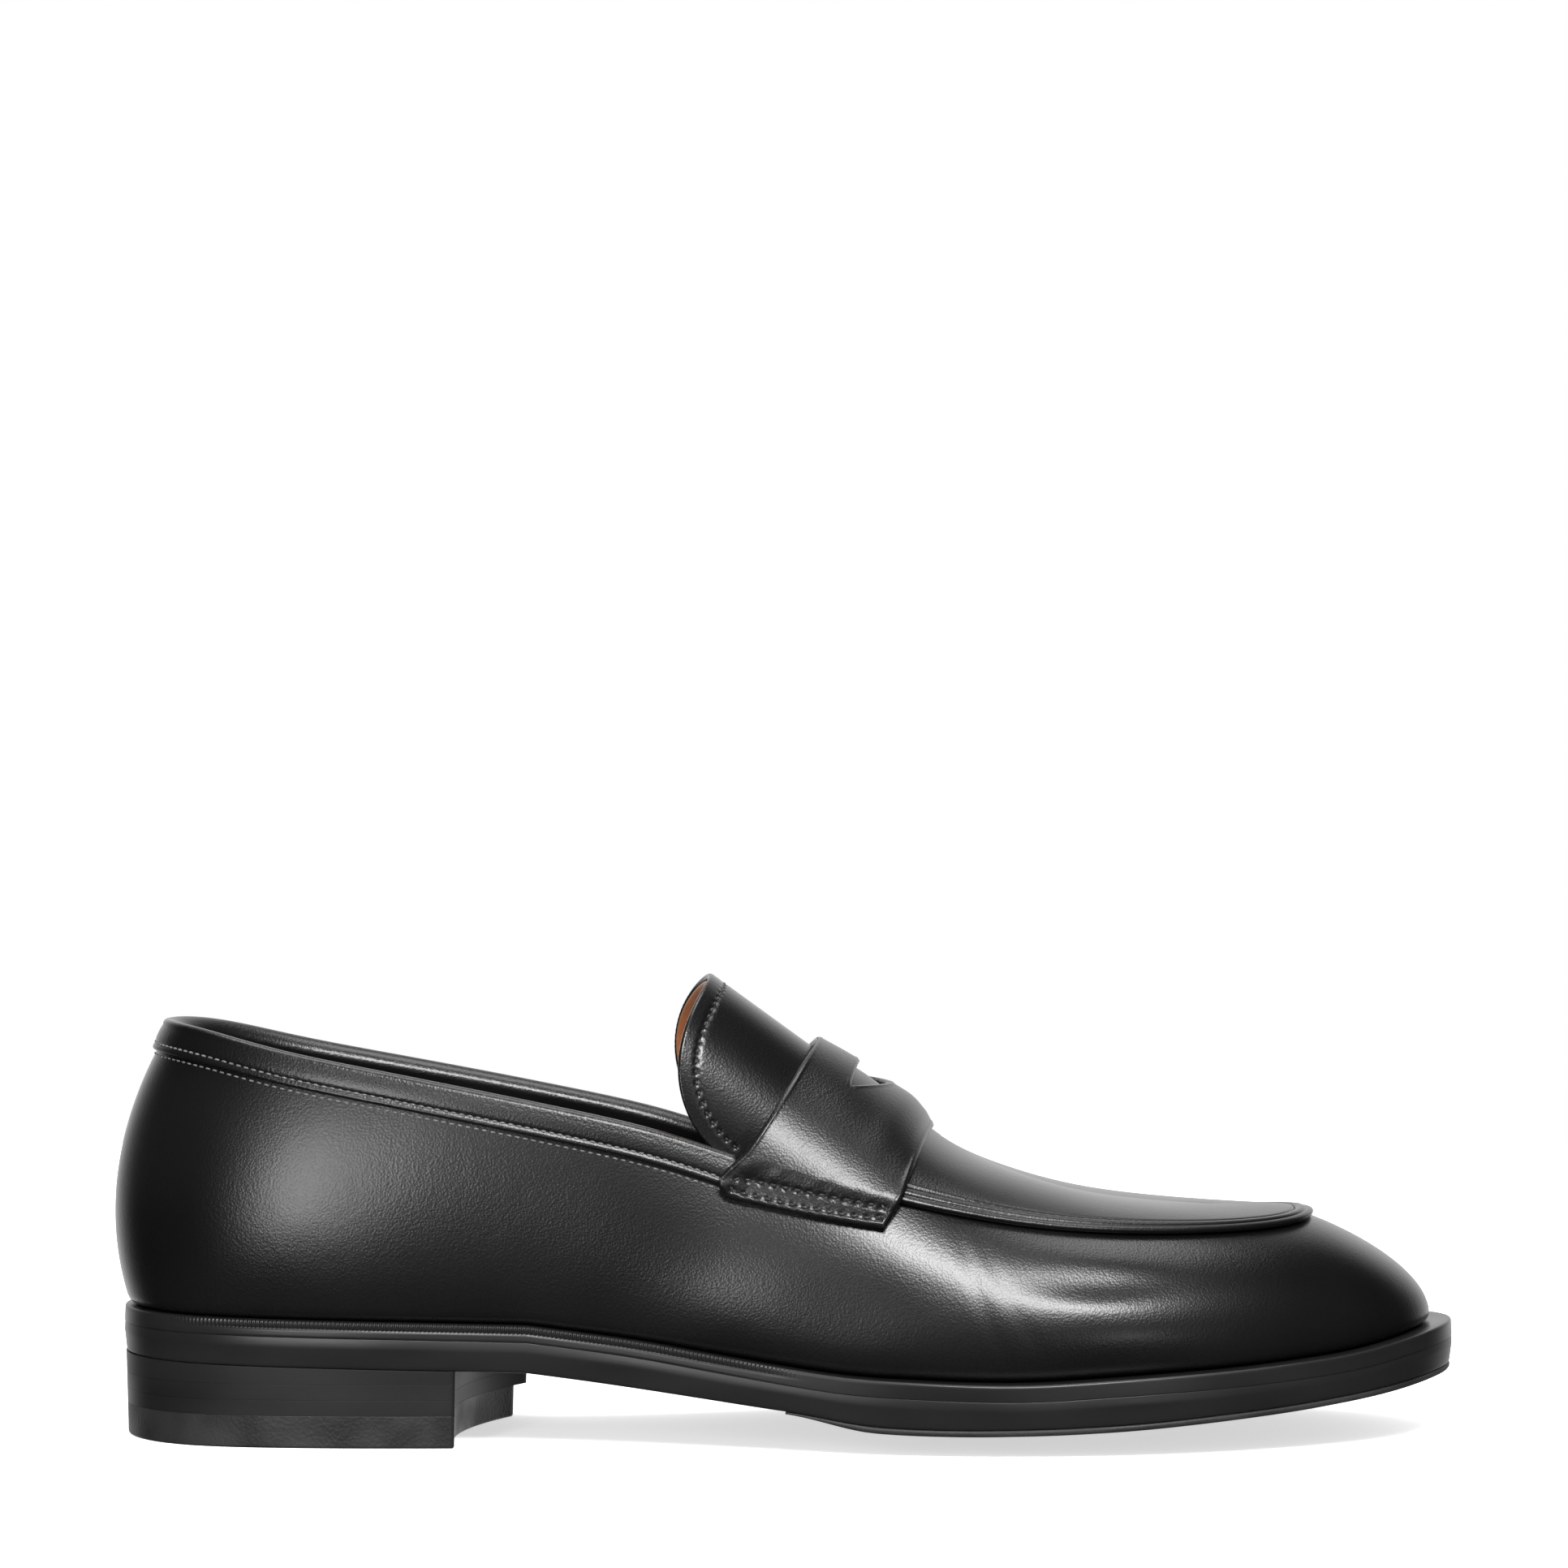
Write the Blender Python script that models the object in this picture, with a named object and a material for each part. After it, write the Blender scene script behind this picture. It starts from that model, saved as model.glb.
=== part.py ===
"""Penny loafer for the right foot: welted sole, stacked heel, upper, linings and a lifting tongue.

The toe points along +X, the outer (lateral) side faces -Y and the ground is Z = 0.  Lengths below are
millimetres measured from the back of the heel; they become metres where a mesh is made.

The upper is one smooth surface.  A station s runs round the shoe, from the back seam (0) along the
lateral side to the toe (16) and back along the medial side (32).  A height w climbs each section, from
the feather edge above the welt (0) to the top line or apron seam (1) and on to the crown (2).
"""

import bpy
import bmesh
import numpy as np

# ---- driving dimensions (mm) ----
CENTRE_X = 150.1          # distance from the back of the heel to the middle of the shoe
CENTRE_Y = 0.25           # and from the heel line to the middle of its width
GAP = 0.3                 # clearance between touching flat pieces
LAYER_GAP = 0.4           # and between curved layers
LAST_STATION = 16         # station of the toe
FULL_TURN = 2 * LAST_STATION
PER_STATION = 2           # sections made for each station
THROAT_STATION = 8.0      # rear edge of the strap, where the top line meets it

UPPER_THICKNESS = 1.4
LINING_THICKNESS = 1.0
STIFFENER_THICKNESS = 1.2
LASTING_MARGIN = 10.0     # leather turned in under the insole board
COLLAR_HEIGHT = 8.0
COLLAR_THICKNESS = 0.9
APRON_THICKNESS = 1.6
STRAP_THICKNESS = 1.7
APRON_OVERLAP = 0.12      # wall carried on under the apron, as a share of the arch

WELT_THICKNESS = 3.5
WELT_INNER_MARGIN = 7.0
HALF_SOLE_THICKNESS = 2.3
HALF_SOLE_REAR = 151.0
BOARD_THICKNESS = 2.0
SOCK_THICKNESS = 1.0
PAD_THICKNESS = 2.5
PAD_FRONT = 64.0
SOLE_CAMBER = 4.8         # how far the tread hangs below the sole edge at the ball

TOP_PIECE_HEIGHT = 7.2
LIFT_THICKNESS = 3.2
BREAST_LATERAL_X = 77.5
BREAST_MEDIAL_X = 91.0
BREAST_HOLLOW = 6.0       # depth of the concave heel front
CORNER_CUT = 5.0
HEEL_PIN_RADIUS = 0.8
HEEL_PIN_CLEARANCE = 0.3
HEEL_PIN_PLACES = ((14.0, 0.0), (30.0, -18.0), (30.0, 18.0), (58.0, -18.0), (58.0, 16.0))

TONGUE_HINGE = (156.0, 0.0, 87.6)
TONGUE_SLOPE = np.radians(36.0)
TONGUE_RADIUS = 26.3
TONGUE_LENGTH = 27.6
TONGUE_ROOT = 2.5         # tongue hidden below the strap, in front of its hinge
TONGUE_HALF_ARC = 46.0
TONGUE_THICKNESS = 1.5
TONGUE_LINING_THICKNESS = 0.9

SLOT_HALF_LENGTH = 0.30   # penny slot, as a share of the strap's half length
SLOT_HALF_WIDTH = 0.155   # and of its width
SLOT_PLACE = 0.52

# Feather edge: distance along the shoe, lateral and medial half widths.
FEATHER_PLAN = (
    (1.5, 0.0, 0.0), (5.5, -15.5, 15.2), (18.0, -27.0, 26.5), (38.0, -31.5, 30.5),
    (60.0, -32.5, 30.0), (80.0, -32.3, 27.8), (98.0, -32.7, 26.5), (114.0, -34.2, 27.3),
    (130.0, -36.8, 30.0), (150.0, -40.8, 35.2), (175.0, -45.2, 41.8), (201.0, -47.3, 46.6),
    (228.0, -45.8, 47.6), (253.0, -39.8, 43.2), (275.0, -29.5, 33.5), (290.5, -16.5, 20.5),
    (297.0, 2.0, 2.0),
)

# Top line, then apron seam: distance, lateral and medial half widths, height.
TOP_LINE = (
    (11.5, 0.0, 0.0, 93.6), (14.0, -10.5, 10.5, 93.5), (22.5, -19.5, 19.5, 92.0),
    (38.0, -25.5, 25.5, 88.2), (58.0, -28.5, 28.0, 84.2), (79.0, -30.5, 29.5, 80.2),
    (100.0, -31.5, 30.5, 76.0), (121.0, -32.0, 31.2, 71.2), (139.5, -32.0, 31.5, 65.3),
    (158.0, -34.8, 34.0, 59.2), (177.5, -36.5, 35.8, 54.0), (200.0, -35.8, 36.0, 49.6),
    (222.0, -33.5, 35.0, 47.4), (243.0, -27.8, 30.5, 46.8), (258.5, -19.8, 23.0, 47.1),
    (267.6, -10.3, 14.0, 48.0), (270.3, 2.0, 2.0, 48.7),
)

# Section bulge: outward and upward reach above the feather edge, outward and downward reach below the top.
SECTION_BULGE = (
    (5.5, 16.0, 16.0, 26.0), (5.0, 16.0, 13.0, 26.0), (4.5, 15.5, 10.0, 26.0), (4.0, 15.0, 7.5, 25.0),
    (3.8, 14.0, 6.0, 23.0), (3.5, 13.0, 5.0, 21.0), (3.5, 12.0, 4.5, 19.0), (3.5, 12.0, 4.5, 17.0),
    (3.8, 12.0, 5.0, 15.0), (4.0, 12.0, 6.5, 13.0), (4.3, 12.0, 8.0, 11.0), (4.5, 12.0, 9.5, 9.0),
    (4.3, 11.5, 10.5, 7.5), (3.5, 11.0, 11.5, 6.0), (2.8, 10.5, 12.0, 5.0), (2.0, 10.0, 12.0, 4.6),
    (1.6, 9.5, 12.0, 4.5),
)

# Crown of the last from the throat to the toe end of the apron: distance, sideways place, height.
CROWN_LINE = (
    (156.0, 0.0, 86.0), (170.0, 0.0, 77.6), (183.0, 0.3, 66.6), (197.0, 0.7, 58.8), (213.0, 1.1, 53.4),
    (228.0, 1.5, 50.8), (239.0, 1.8, 49.8), (245.0, 2.0, 49.4), (247.0, 2.0, 49.3),
)

# Height profiles along the shoe: (distance, height).
HEEL_SEAT_END = 93.0
FEATHER_HEIGHT = (
    (0.0, 29.4), (93.0, 27.4), (103.0, 26.2), (118.0, 24.4), (132.5, 22.0), (153.0, 18.9), (166.0, 17.3),
    (191.0, 16.4), (205.0, 16.4), (228.0, 17.8), (252.0, 19.2), (276.0, 21.2), (289.0, 23.6), (302.0, 26.2),
)
OUTSOLE_HEIGHT = (
    (0.0, 18.8), (93.0, 16.8), (111.0, 14.6), (129.0, 12.3), (147.0, 10.0), (160.0, 8.6), (174.0, 7.6),
    (191.0, 7.4), (209.0, 7.8), (227.0, 8.7), (245.0, 10.2), (264.0, 11.9), (283.0, 14.1), (302.0, 17.4),
)
CAMBER_SHARE = ((0.0, 0.0), (93.0, 0.0), (120.0, 0.4), (160.0, 0.8), (193.0, 1.0), (230.0, 0.75),
                (265.0, 0.32), (302.0, 0.0))
# How far the sole stands out beyond the feather edge, at each station from heel to toe.
SOLE_MARGIN = (1.3, 1.3, 1.3, 1.4, 1.5, 1.6, 1.8, 2.2, 2.8, 3.6, 4.4, 4.8, 5.0, 5.1, 5.2, 5.2, 5.2)

COLOURS = {
    "black_calf": ((0.012, 0.012, 0.013), 0.34, 0.0),
    "tan_lining": ((0.46, 0.20, 0.075), 0.55, 0.0),
    "black_lining": ((0.02, 0.018, 0.017), 0.6, 0.0),
    "stiffener": ((0.55, 0.42, 0.28), 0.8, 0.0),
    "insole_board": ((0.58, 0.40, 0.24), 0.75, 0.0),
    "cork": ((0.45, 0.27, 0.13), 0.9, 0.0),
    "foam": ((0.78, 0.74, 0.62), 0.9, 0.0),
    "spring_steel": ((0.55, 0.56, 0.58), 0.35, 1.0),
    "black_sole_leather": ((0.018, 0.018, 0.018), 0.28, 0.0),
    "black_rubber": ((0.022, 0.022, 0.022), 0.7, 0.0),
    "brass": ((0.80, 0.58, 0.26), 0.35, 1.0),
}


# ---- curves ----

def station_spline(points, closed):
    """Cubic spline through points at whole-number stations, as a function of station."""
    points = np.asarray(points, float)
    count = len(points)
    matrix = np.eye(count) * 4.0
    rise = np.zeros_like(points)
    for row in range(count):
        before, after = row - 1, row + 1
        if not closed and row in (0, count - 1):
            matrix[row, row] = 1.0
            continue
        after %= count
        matrix[row, before] = 1.0
        matrix[row, after] = 1.0
        rise[row] = 6.0 * (points[before] - 2.0 * points[row] + points[after])
    bend = np.linalg.solve(matrix, rise)

    def at(station):
        station = np.asarray(station, float)
        if closed:
            station = np.mod(station, count)
            first = np.floor(station).astype(int) % count
            second = (first + 1) % count
        else:
            first = np.clip(np.floor(station).astype(int), 0, count - 2)
            second = first + 1
        f = (station - first)[..., None]
        g = 1.0 - f
        return (g * points[first] + f * points[second]
                + (g ** 3 - g) * bend[first] / 6.0 + (f ** 3 - f) * bend[second] / 6.0)

    return at


def profile(points):
    """Height profile with rounded joints: linear interpolation averaged over a short window."""
    xs, zs = np.asarray(points, float).T
    window = np.linspace(-7.0, 7.0, 15)

    def at(x):
        x = np.asarray(x, float)
        reach = np.clip((x[..., None] - HEEL_SEAT_END) / 7.0, 0.0, 1.0)
        return np.interp(x[..., None] + window * reach, xs, zs).mean(axis=-1)

    return at


def smooth_step(start, end, value):
    """0 before start, 1 after end, eased between."""
    t = np.clip((np.asarray(value, float) - start) / (end - start), 0.0, 1.0)
    return t * t * (3.0 - 2.0 * t)


feather_height = profile(FEATHER_HEIGHT)
outsole_height = profile(OUTSOLE_HEIGHT)
camber_share = profile(CAMBER_SHARE)


def both_sides(rows):
    """Closed loop of stations from rows given heel to toe: lateral out, medial back."""
    return list(rows) + list(rows[-2:0:-1])


def side_points(rows, side, height):
    """3-D points of one side of a plan list."""
    points = []
    for row in rows:
        z = row[3] if height is None else float(height(row[0]))
        points.append((row[0], row[1] if side < 0 else row[2], z))
    return points


def loop_points(rows, height=None):
    lateral = side_points(rows, -1, height)
    medial = side_points(rows, 1, height)
    return np.array(lateral + medial[-2:0:-1])


FEATHER_LOOP = station_spline(loop_points(FEATHER_PLAN, feather_height), True)
TOP = station_spline(loop_points(TOP_LINE), True)
BULGE = station_spline(both_sides(SECTION_BULGE), True)
MARGIN = station_spline([(m,) for m in both_sides(SOLE_MARGIN)], True)
CROWN = station_spline(CROWN_LINE, False)


def on_seat(points):
    """The same points, dropped to the height of the feather edge at their distance."""
    return np.concatenate([points[..., :2], feather_height(points[..., 0])[..., None]], axis=-1)


def feather(s):
    """Point of the feather edge at station s."""
    return on_seat(FEATHER_LOOP(s))


def outward(s):
    """Horizontal unit vector pointing out of the feather edge at station s."""
    step = 0.02
    along = FEATHER_LOOP(np.asarray(s) + step) - FEATHER_LOOP(np.asarray(s) - step)
    side = np.stack([along[..., 1], -along[..., 0], np.zeros_like(along[..., 0])], axis=-1)
    return side / np.linalg.norm(side, axis=-1, keepdims=True)


def bezier(p0, p1, p2, p3, t):
    t = np.asarray(t, float)[..., None]
    u = 1.0 - t
    return u ** 3 * p0 + 3 * u * u * t * p1 + 3 * u * t * t * p2 + t ** 3 * p3


def last_point(s, w):
    """Point of the outer leather surface at station s and height w."""
    s, w = np.broadcast_arrays(np.asarray(s, float), np.asarray(w, float))
    base, top, bulge, out = feather(s), TOP(s), BULGE(s), outward(s)
    up = np.array([0.0, 0.0, 1.0])
    low = base + out * bulge[..., 0:1] + up * bulge[..., 1:2]
    high = top + out * bulge[..., 2:3] - up * bulge[..., 3:4]
    wall = bezier(base, low, high, top, np.clip(w, 0.0, 1.0))

    fold = LAST_STATION - np.abs(np.mod(s, FULL_TURN) - LAST_STATION)
    crown = CROWN(np.clip(fold - THROAT_STATION, 0.0, LAST_STATION - THROAT_STATION))
    ramp = np.clip((fold - THROAT_STATION) / 3.0, 0.0, 1.0)
    span = crown - top
    rise = np.stack([0.55 - 0.25 * ramp, 0.04 + 0.21 * ramp, 0.55 + 0.15 * ramp], axis=-1)
    fall = np.stack([0.4 * ramp, 0.55 - 0.15 * ramp, 0.0 * ramp], axis=-1)
    arch = bezier(top, top + rise * span, crown - fall * span, crown, np.clip(w - 1.0, 0.0, 1.0))
    return np.where((w > 1.0)[..., None], arch, wall)


def crown_normal(s):
    """Upward unit normal of the crown line, with no sideways lean."""
    fold = LAST_STATION - np.abs(np.mod(s, FULL_TURN) - LAST_STATION)
    along = np.clip(fold - THROAT_STATION, 0.05, LAST_STATION - THROAT_STATION - 0.05)
    slope = CROWN(along + 0.05) - CROWN(along - 0.05)
    normal = np.stack([-slope[..., 2], np.zeros_like(along), slope[..., 0]], axis=-1)
    return normal / np.linalg.norm(normal, axis=-1, keepdims=True)


def last_normal(s, w):
    """Outward unit normal of the last surface."""
    s, w = np.broadcast_arrays(np.asarray(s, float), np.asarray(w, float))
    step = 0.02
    low, high = np.clip(w - step, 0.0, 2.0), np.clip(w + step, 0.0, 2.0)
    along = last_point(s + step, w) - last_point(s - step, w)
    up = last_point(s, high) - last_point(s, low)
    normal = np.cross(along, up)
    normal /= np.maximum(np.linalg.norm(normal, axis=-1, keepdims=True), 1e-9)
    return np.where((w > 1.999)[..., None], crown_normal(s), normal)


def layer_point(s, w, depth):
    """Point at a depth inside (or, negative, outside) the outer leather surface."""
    depth = np.asarray(depth, float)[..., None] * np.ones(np.broadcast(s, w).shape + (1,))
    return last_point(s, w) - last_normal(s, w) * depth


def height_above_feather(s, rise):
    """Height w at which the section stands a given rise above the feather edge."""
    trial = np.linspace(0.0, 1.0, 61)
    result = []
    for one, lift in zip(s, np.broadcast_to(rise, np.shape(s))):
        z = last_point(one, trial)[:, 2]
        result.append(np.interp(z[0] + lift, z, trial))
    return np.array(result)


def height_below_top(s, distance):
    """Height w at a given distance down the wall from the top line."""
    trial = np.linspace(0.0, 1.0, 61)
    result = []
    for one, drop in zip(s, np.broadcast_to(distance, np.shape(s))):
        path = last_point(one, trial)
        length = np.append(0.0, np.cumsum(np.linalg.norm(np.diff(path, axis=0), axis=1)))
        result.append(np.interp(length[-1] - drop, length, trial))
    return np.array(result)


def stiffened(s, w):
    """1 where the counter or toe puff lies between leather and lining, 0 elsewhere."""
    fold = LAST_STATION - np.abs(np.mod(s, FULL_TURN) - LAST_STATION)
    counter = (1.0 - smooth_step(6.3, 7.2, fold)) * (1.0 - smooth_step(0.67, 0.84, w))
    puff = smooth_step(12.0, 12.9, fold) * (1.0 - smooth_step(1.0, 1.25, w))
    return np.maximum(counter, puff)


def lining_depth(s, w):
    """Depth of the lining's outer face: behind the leather, or close below the apron."""
    behind = UPPER_THICKNESS + LAYER_GAP + (STIFFENER_THICKNESS + LAYER_GAP) * stiffened(s, w)
    return behind * (1.0 - smooth_step(1.12, 1.4, w))


# ---- solids ----

def world(points):
    """Millimetres from the back of the heel to metres in the shoe's own frame."""
    return (np.asarray(points, float) - (CENTRE_X, CENTRE_Y, 0.0)) * 0.001


def material(name):
    made = bpy.data.materials.get(name)
    if made is None:
        made = bpy.data.materials.new(name)
        made.use_nodes = True
        colour, roughness, metallic = COLOURS[name]
        shader = made.node_tree.nodes["Principled BSDF"]
        shader.inputs["Base Color"].default_value = (*colour, 1.0)
        shader.inputs["Roughness"].default_value = roughness
        shader.inputs["Metallic"].default_value = metallic
    return made


def add_object(name, points, faces, material_name, origin=(0.0, 0.0, 0.0)):
    """Mesh object from points in millimetres, placed at an origin in metres, faces turned outward."""
    mesh = bpy.data.meshes.new(name)
    mesh.from_pydata((world(points) - origin).tolist(), [], faces)
    body = bmesh.new()
    body.from_mesh(mesh)
    loose = [vertex for vertex in body.verts if not vertex.link_faces]
    bmesh.ops.delete(body, geom=loose, context="VERTS")
    bmesh.ops.recalc_face_normals(body, faces=body.faces)
    body.to_mesh(mesh)
    body.free()
    mesh.shade_smooth()
    mesh.set_sharp_from_angle(angle=np.radians(35.0))
    mesh.materials.append(material(material_name))
    made = bpy.data.objects.new(name, mesh)
    made.location = origin
    bpy.context.collection.objects.link(made)
    return made


def grid_faces(rows, columns, first, ring):
    """Quads of a grid of points; ring joins the last row to the first."""
    faces = []
    for row in range(rows if ring else rows - 1):
        following = (row + 1) % rows
        for column in range(columns - 1):
            faces.append((first + row * columns + column, first + following * columns + column,
                          first + following * columns + column + 1, first + row * columns + column + 1))
    return faces


def thick_sheet(name, sheets, material_name, ring=False, origin=(0.0, 0.0, 0.0)):
    """Closed solid between matching outer and inner grids; free edges get a wall, equal points weld."""
    outer = np.concatenate([np.reshape(sheet[0], (-1, 3)) for sheet in sheets])
    inner = np.concatenate([np.reshape(sheet[1], (-1, 3)) for sheet in sheets])
    faces = []
    first = 0
    for sheet in sheets:
        rows, columns = sheet[0].shape[:2]
        faces += grid_faces(rows, columns, first, ring)
        first += rows * columns
    places = {}
    weld = [places.setdefault(tuple(point), index) for index, point in enumerate(np.round(outer, 3))]
    welded = []
    for face in faces:
        corners = list(dict.fromkeys(weld[corner] for corner in face))
        if len(corners) > 2:
            welded.append(tuple(corners))
    edges = {(a, b) for face in welded for a, b in zip(face, face[1:] + face[:1])}
    shift = len(outer)
    solid = list(welded)
    solid += [tuple(corner + shift for corner in reversed(face)) for face in welded]
    solid += [(b, a, a + shift, b + shift) for a, b in sorted(edges) if (b, a) not in edges]
    return add_object(name, np.concatenate([outer, inner]), solid, material_name, origin)


def extruded_outline(name, outline, bottom, top, material_name):
    """Flat-bottomed block over a plan outline; top is a height or a function of distance."""
    outline = np.asarray(outline)
    count = len(outline)
    low = np.column_stack([outline, np.full(count, bottom)])
    heights = top(outline[:, 0]) if callable(top) else np.full(count, top)
    high = np.column_stack([outline, heights])
    faces = [tuple(range(count - 1, -1, -1)), tuple(range(count, 2 * count))]
    faces += [(k, (k + 1) % count, (k + 1) % count + count, k + count) for k in range(count)]
    return add_object(name, np.concatenate([low, high]), faces, material_name)


# ---- upper ----

def climb(low, high, rows):
    """Even heights from one curve to another, a row of them for each station."""
    return low[:, None] + (high - low)[:, None] * np.linspace(0.0, 1.0, rows)


def section_layer(stations, w, outer_depth, inner_depth):
    """Outer and inner grids of a layer, from the heights of its rows at each station."""
    s = np.broadcast_to(stations[:, None], w.shape)
    outer = outer_depth(s, w) if callable(outer_depth) else np.full(w.shape, outer_depth)
    inner = inner_depth(s, w) if callable(inner_depth) else np.full(w.shape, inner_depth)
    return layer_point(s, w, outer), layer_point(s, w, inner)


def round_stations():
    """Evenly spaced stations right round the shoe."""
    return np.arange(0, FULL_TURN * PER_STATION) / PER_STATION


def stations_between(first, last):
    """The even stations between two ends, and the ends themselves."""
    even = np.arange(np.floor(first * PER_STATION), np.ceil(last * PER_STATION) + 1) / PER_STATION
    inside = even[(even > first + 0.1) & (even < last - 0.1)]
    return np.concatenate([[first], inside, [last]])


def wall_top(s):
    """Height of the wall's own edge: below the collar's roll, or on under the apron."""
    fold = LAST_STATION - np.abs(np.mod(s, FULL_TURN) - LAST_STATION)
    under_collar = height_below_top(s, COLLAR_THICKNESS + GAP)
    under_apron = 1.0 + APRON_OVERLAP
    ease = smooth_step(THROAT_STATION - 0.1, THROAT_STATION + 0.9, fold)
    return under_collar + (under_apron - under_collar) * ease


def upper_wall():
    """One-piece wall of the upper, seamed at the back, with its lasting margin turned in."""
    s = round_stations()
    top = wall_top(s)
    w = np.column_stack([climb(height_above_feather(s, 3.0), np.minimum(top - 0.03, 1.0), 7), top])
    outer, inner = section_layer(s, w, 0.0, UPPER_THICKNESS)
    base = feather(s)[:, None]
    turned_in = on_seat(base - outward(s)[:, None] * LASTING_MARGIN)
    lift = np.array([0.0, 0.0, UPPER_THICKNESS])
    corner = on_seat(base - outward(s)[:, None] * UPPER_THICKNESS) + lift
    outer = np.concatenate([turned_in, base, outer], axis=1)
    inner = np.concatenate([turned_in + lift, corner, inner], axis=1)
    return thick_sheet("upper_wall", [(outer, inner)], "black_calf", ring=True)


def collar_heights(s):
    """Heights of the rows under the collar band, from its lower edge up to its roll."""
    drops = (COLLAR_HEIGHT, 0.5 * COLLAR_HEIGHT, COLLAR_THICKNESS + GAP)
    return np.column_stack([height_below_top(s, drop) for drop in drops])


def collar_band():
    """Folded binding over the top line, from one end of the strap round the heel to the other."""
    reach = THROAT_STATION - 0.12
    s = stations_between(-reach, reach)
    heights = collar_heights(s)
    lip = np.array([0.0, 0.0, COLLAR_THICKNESS + GAP])
    lower = np.array([0.0, 0.0, GAP])
    stack = UPPER_THICKNESS + LAYER_GAP + LINING_THICKNESS
    skin, back = section_layer(s, heights, -LAYER_GAP - COLLAR_THICKNESS, -LAYER_GAP)
    inner_back, inner_skin = section_layer(s, heights[:, ::-1], stack + LAYER_GAP,
                                           stack + LAYER_GAP + COLLAR_THICKNESS)
    outer_edge, inner_edge = skin[:, -1:], inner_skin[:, :1]
    outside = [skin, outer_edge * 0.8 + inner_edge * 0.2 + lip, outer_edge * 0.2 + inner_edge * 0.8 + lip,
               inner_skin]
    inside = [back, back[:, -1:] + lower, inner_back[:, :1] + lower, inner_back]
    return thick_sheet("collar_band", [(np.concatenate(outside, axis=1), np.concatenate(inside, axis=1))],
                       "black_calf")


def arch_heights(s):
    """Heights of the rows over the arch, from the wall's hidden edge to the crown."""
    low = np.full(np.shape(s), 1.0 + APRON_OVERLAP)
    return climb(low, np.full(np.shape(s), 2.0), 6)


def lining_start(s):
    """Height of the lower edge of the linings and stiffeners, just above the insole board."""
    return height_above_feather(s, BOARD_THICKNESS + UPPER_THICKNESS + 1.2)


def lining_inside(s, w):
    return lining_depth(s, w) + LINING_THICKNESS


def apron():
    """Raised plug over the vamp, from below the strap to the toe."""
    reach = THROAT_STATION + 0.3
    s = stations_between(reach, FULL_TURN - reach)
    w = np.column_stack([np.ones(s.shape), arch_heights(s)])
    layer = section_layer(s, w, -LAYER_GAP - APRON_THICKNESS, -LAYER_GAP)
    return thick_sheet("apron", [layer], "black_calf")


def vamp_lining():
    """Lining of the forepart, from the insole board over the crown."""
    reach = THROAT_STATION + 0.25
    s = stations_between(reach, FULL_TURN - reach)
    w = np.column_stack([climb(lining_start(s), np.ones(s.shape), 6), arch_heights(s)])
    layer = section_layer(s, w, lining_depth, lining_inside)
    return thick_sheet("vamp_lining", [layer], "black_lining")


def quarter_lining():
    """Lining of the quarters and heel, up to the collar's roll."""
    reach = THROAT_STATION + 0.2
    s = stations_between(-reach, reach)
    shoulder = height_below_top(s, COLLAR_HEIGHT)
    w = np.column_stack([climb(lining_start(s), shoulder, 6)[:, :-1], collar_heights(s)])
    layer = section_layer(s, w, lining_depth, lining_inside)
    return thick_sheet("quarter_lining", [layer], "black_lining")


def stiffener(name, first, last, w_high):
    """Moulded stiffener between the leather and the lining."""
    s = stations_between(first, last)
    near = UPPER_THICKNESS + LAYER_GAP
    w = climb(lining_start(s), np.full(s.shape, w_high), 6)
    layer = section_layer(s, w, near, near + STIFFENER_THICKNESS)
    return thick_sheet(name, [layer], "stiffener")


def strap():
    """Saddle strap sewn to both walls over the apron, with a lip-shaped penny slot at the crown."""
    q = np.concatenate([np.linspace(-1.0, -SLOT_HALF_LENGTH, 8)[:-1],
                        np.linspace(-SLOT_HALF_LENGTH, SLOT_HALF_LENGTH, 9),
                        np.linspace(SLOT_HALF_LENGTH, 1.0, 8)[1:]])
    opening = SLOT_HALF_WIDTH * np.clip(1.0 - (q / SLOT_HALF_LENGTH) ** 2, 0.0, 1.0)

    def limb(start, end):
        share = np.linspace(0.0, 1.0, 4)
        p = start[:, None] + (end - start)[:, None] * share
        across = np.broadcast_to(q[:, None], p.shape)
        reach = np.abs(across)
        down = np.clip((reach - 0.72) / 0.28, 0.0, 1.0)
        rear = THROAT_STATION + 0.0 * reach
        front = THROAT_STATION + 2.05 + 0.05 * reach - 0.17 * down
        fold = rear + (front - rear) * p
        w_end = (0.78 + 0.09 * p)
        w = np.where(reach < 0.72, 2.0 - reach / 0.72, 1.0 - (1.0 - w_end) * down)
        s = np.where(across < 0.0, fold, FULL_TURN - fold)
        lift = LAYER_GAP + (APRON_THICKNESS + LAYER_GAP) * smooth_step(0.86, 1.0, w)
        return layer_point(s, w, -lift - STRAP_THICKNESS), layer_point(s, w, -lift)

    rear_limb = limb(0.0 * q, SLOT_PLACE - opening)
    front_limb = limb(SLOT_PLACE + opening, 0.0 * q + 1.0)
    return thick_sheet("strap", [rear_limb, front_limb], "black_calf")


# ---- tongue ----

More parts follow.
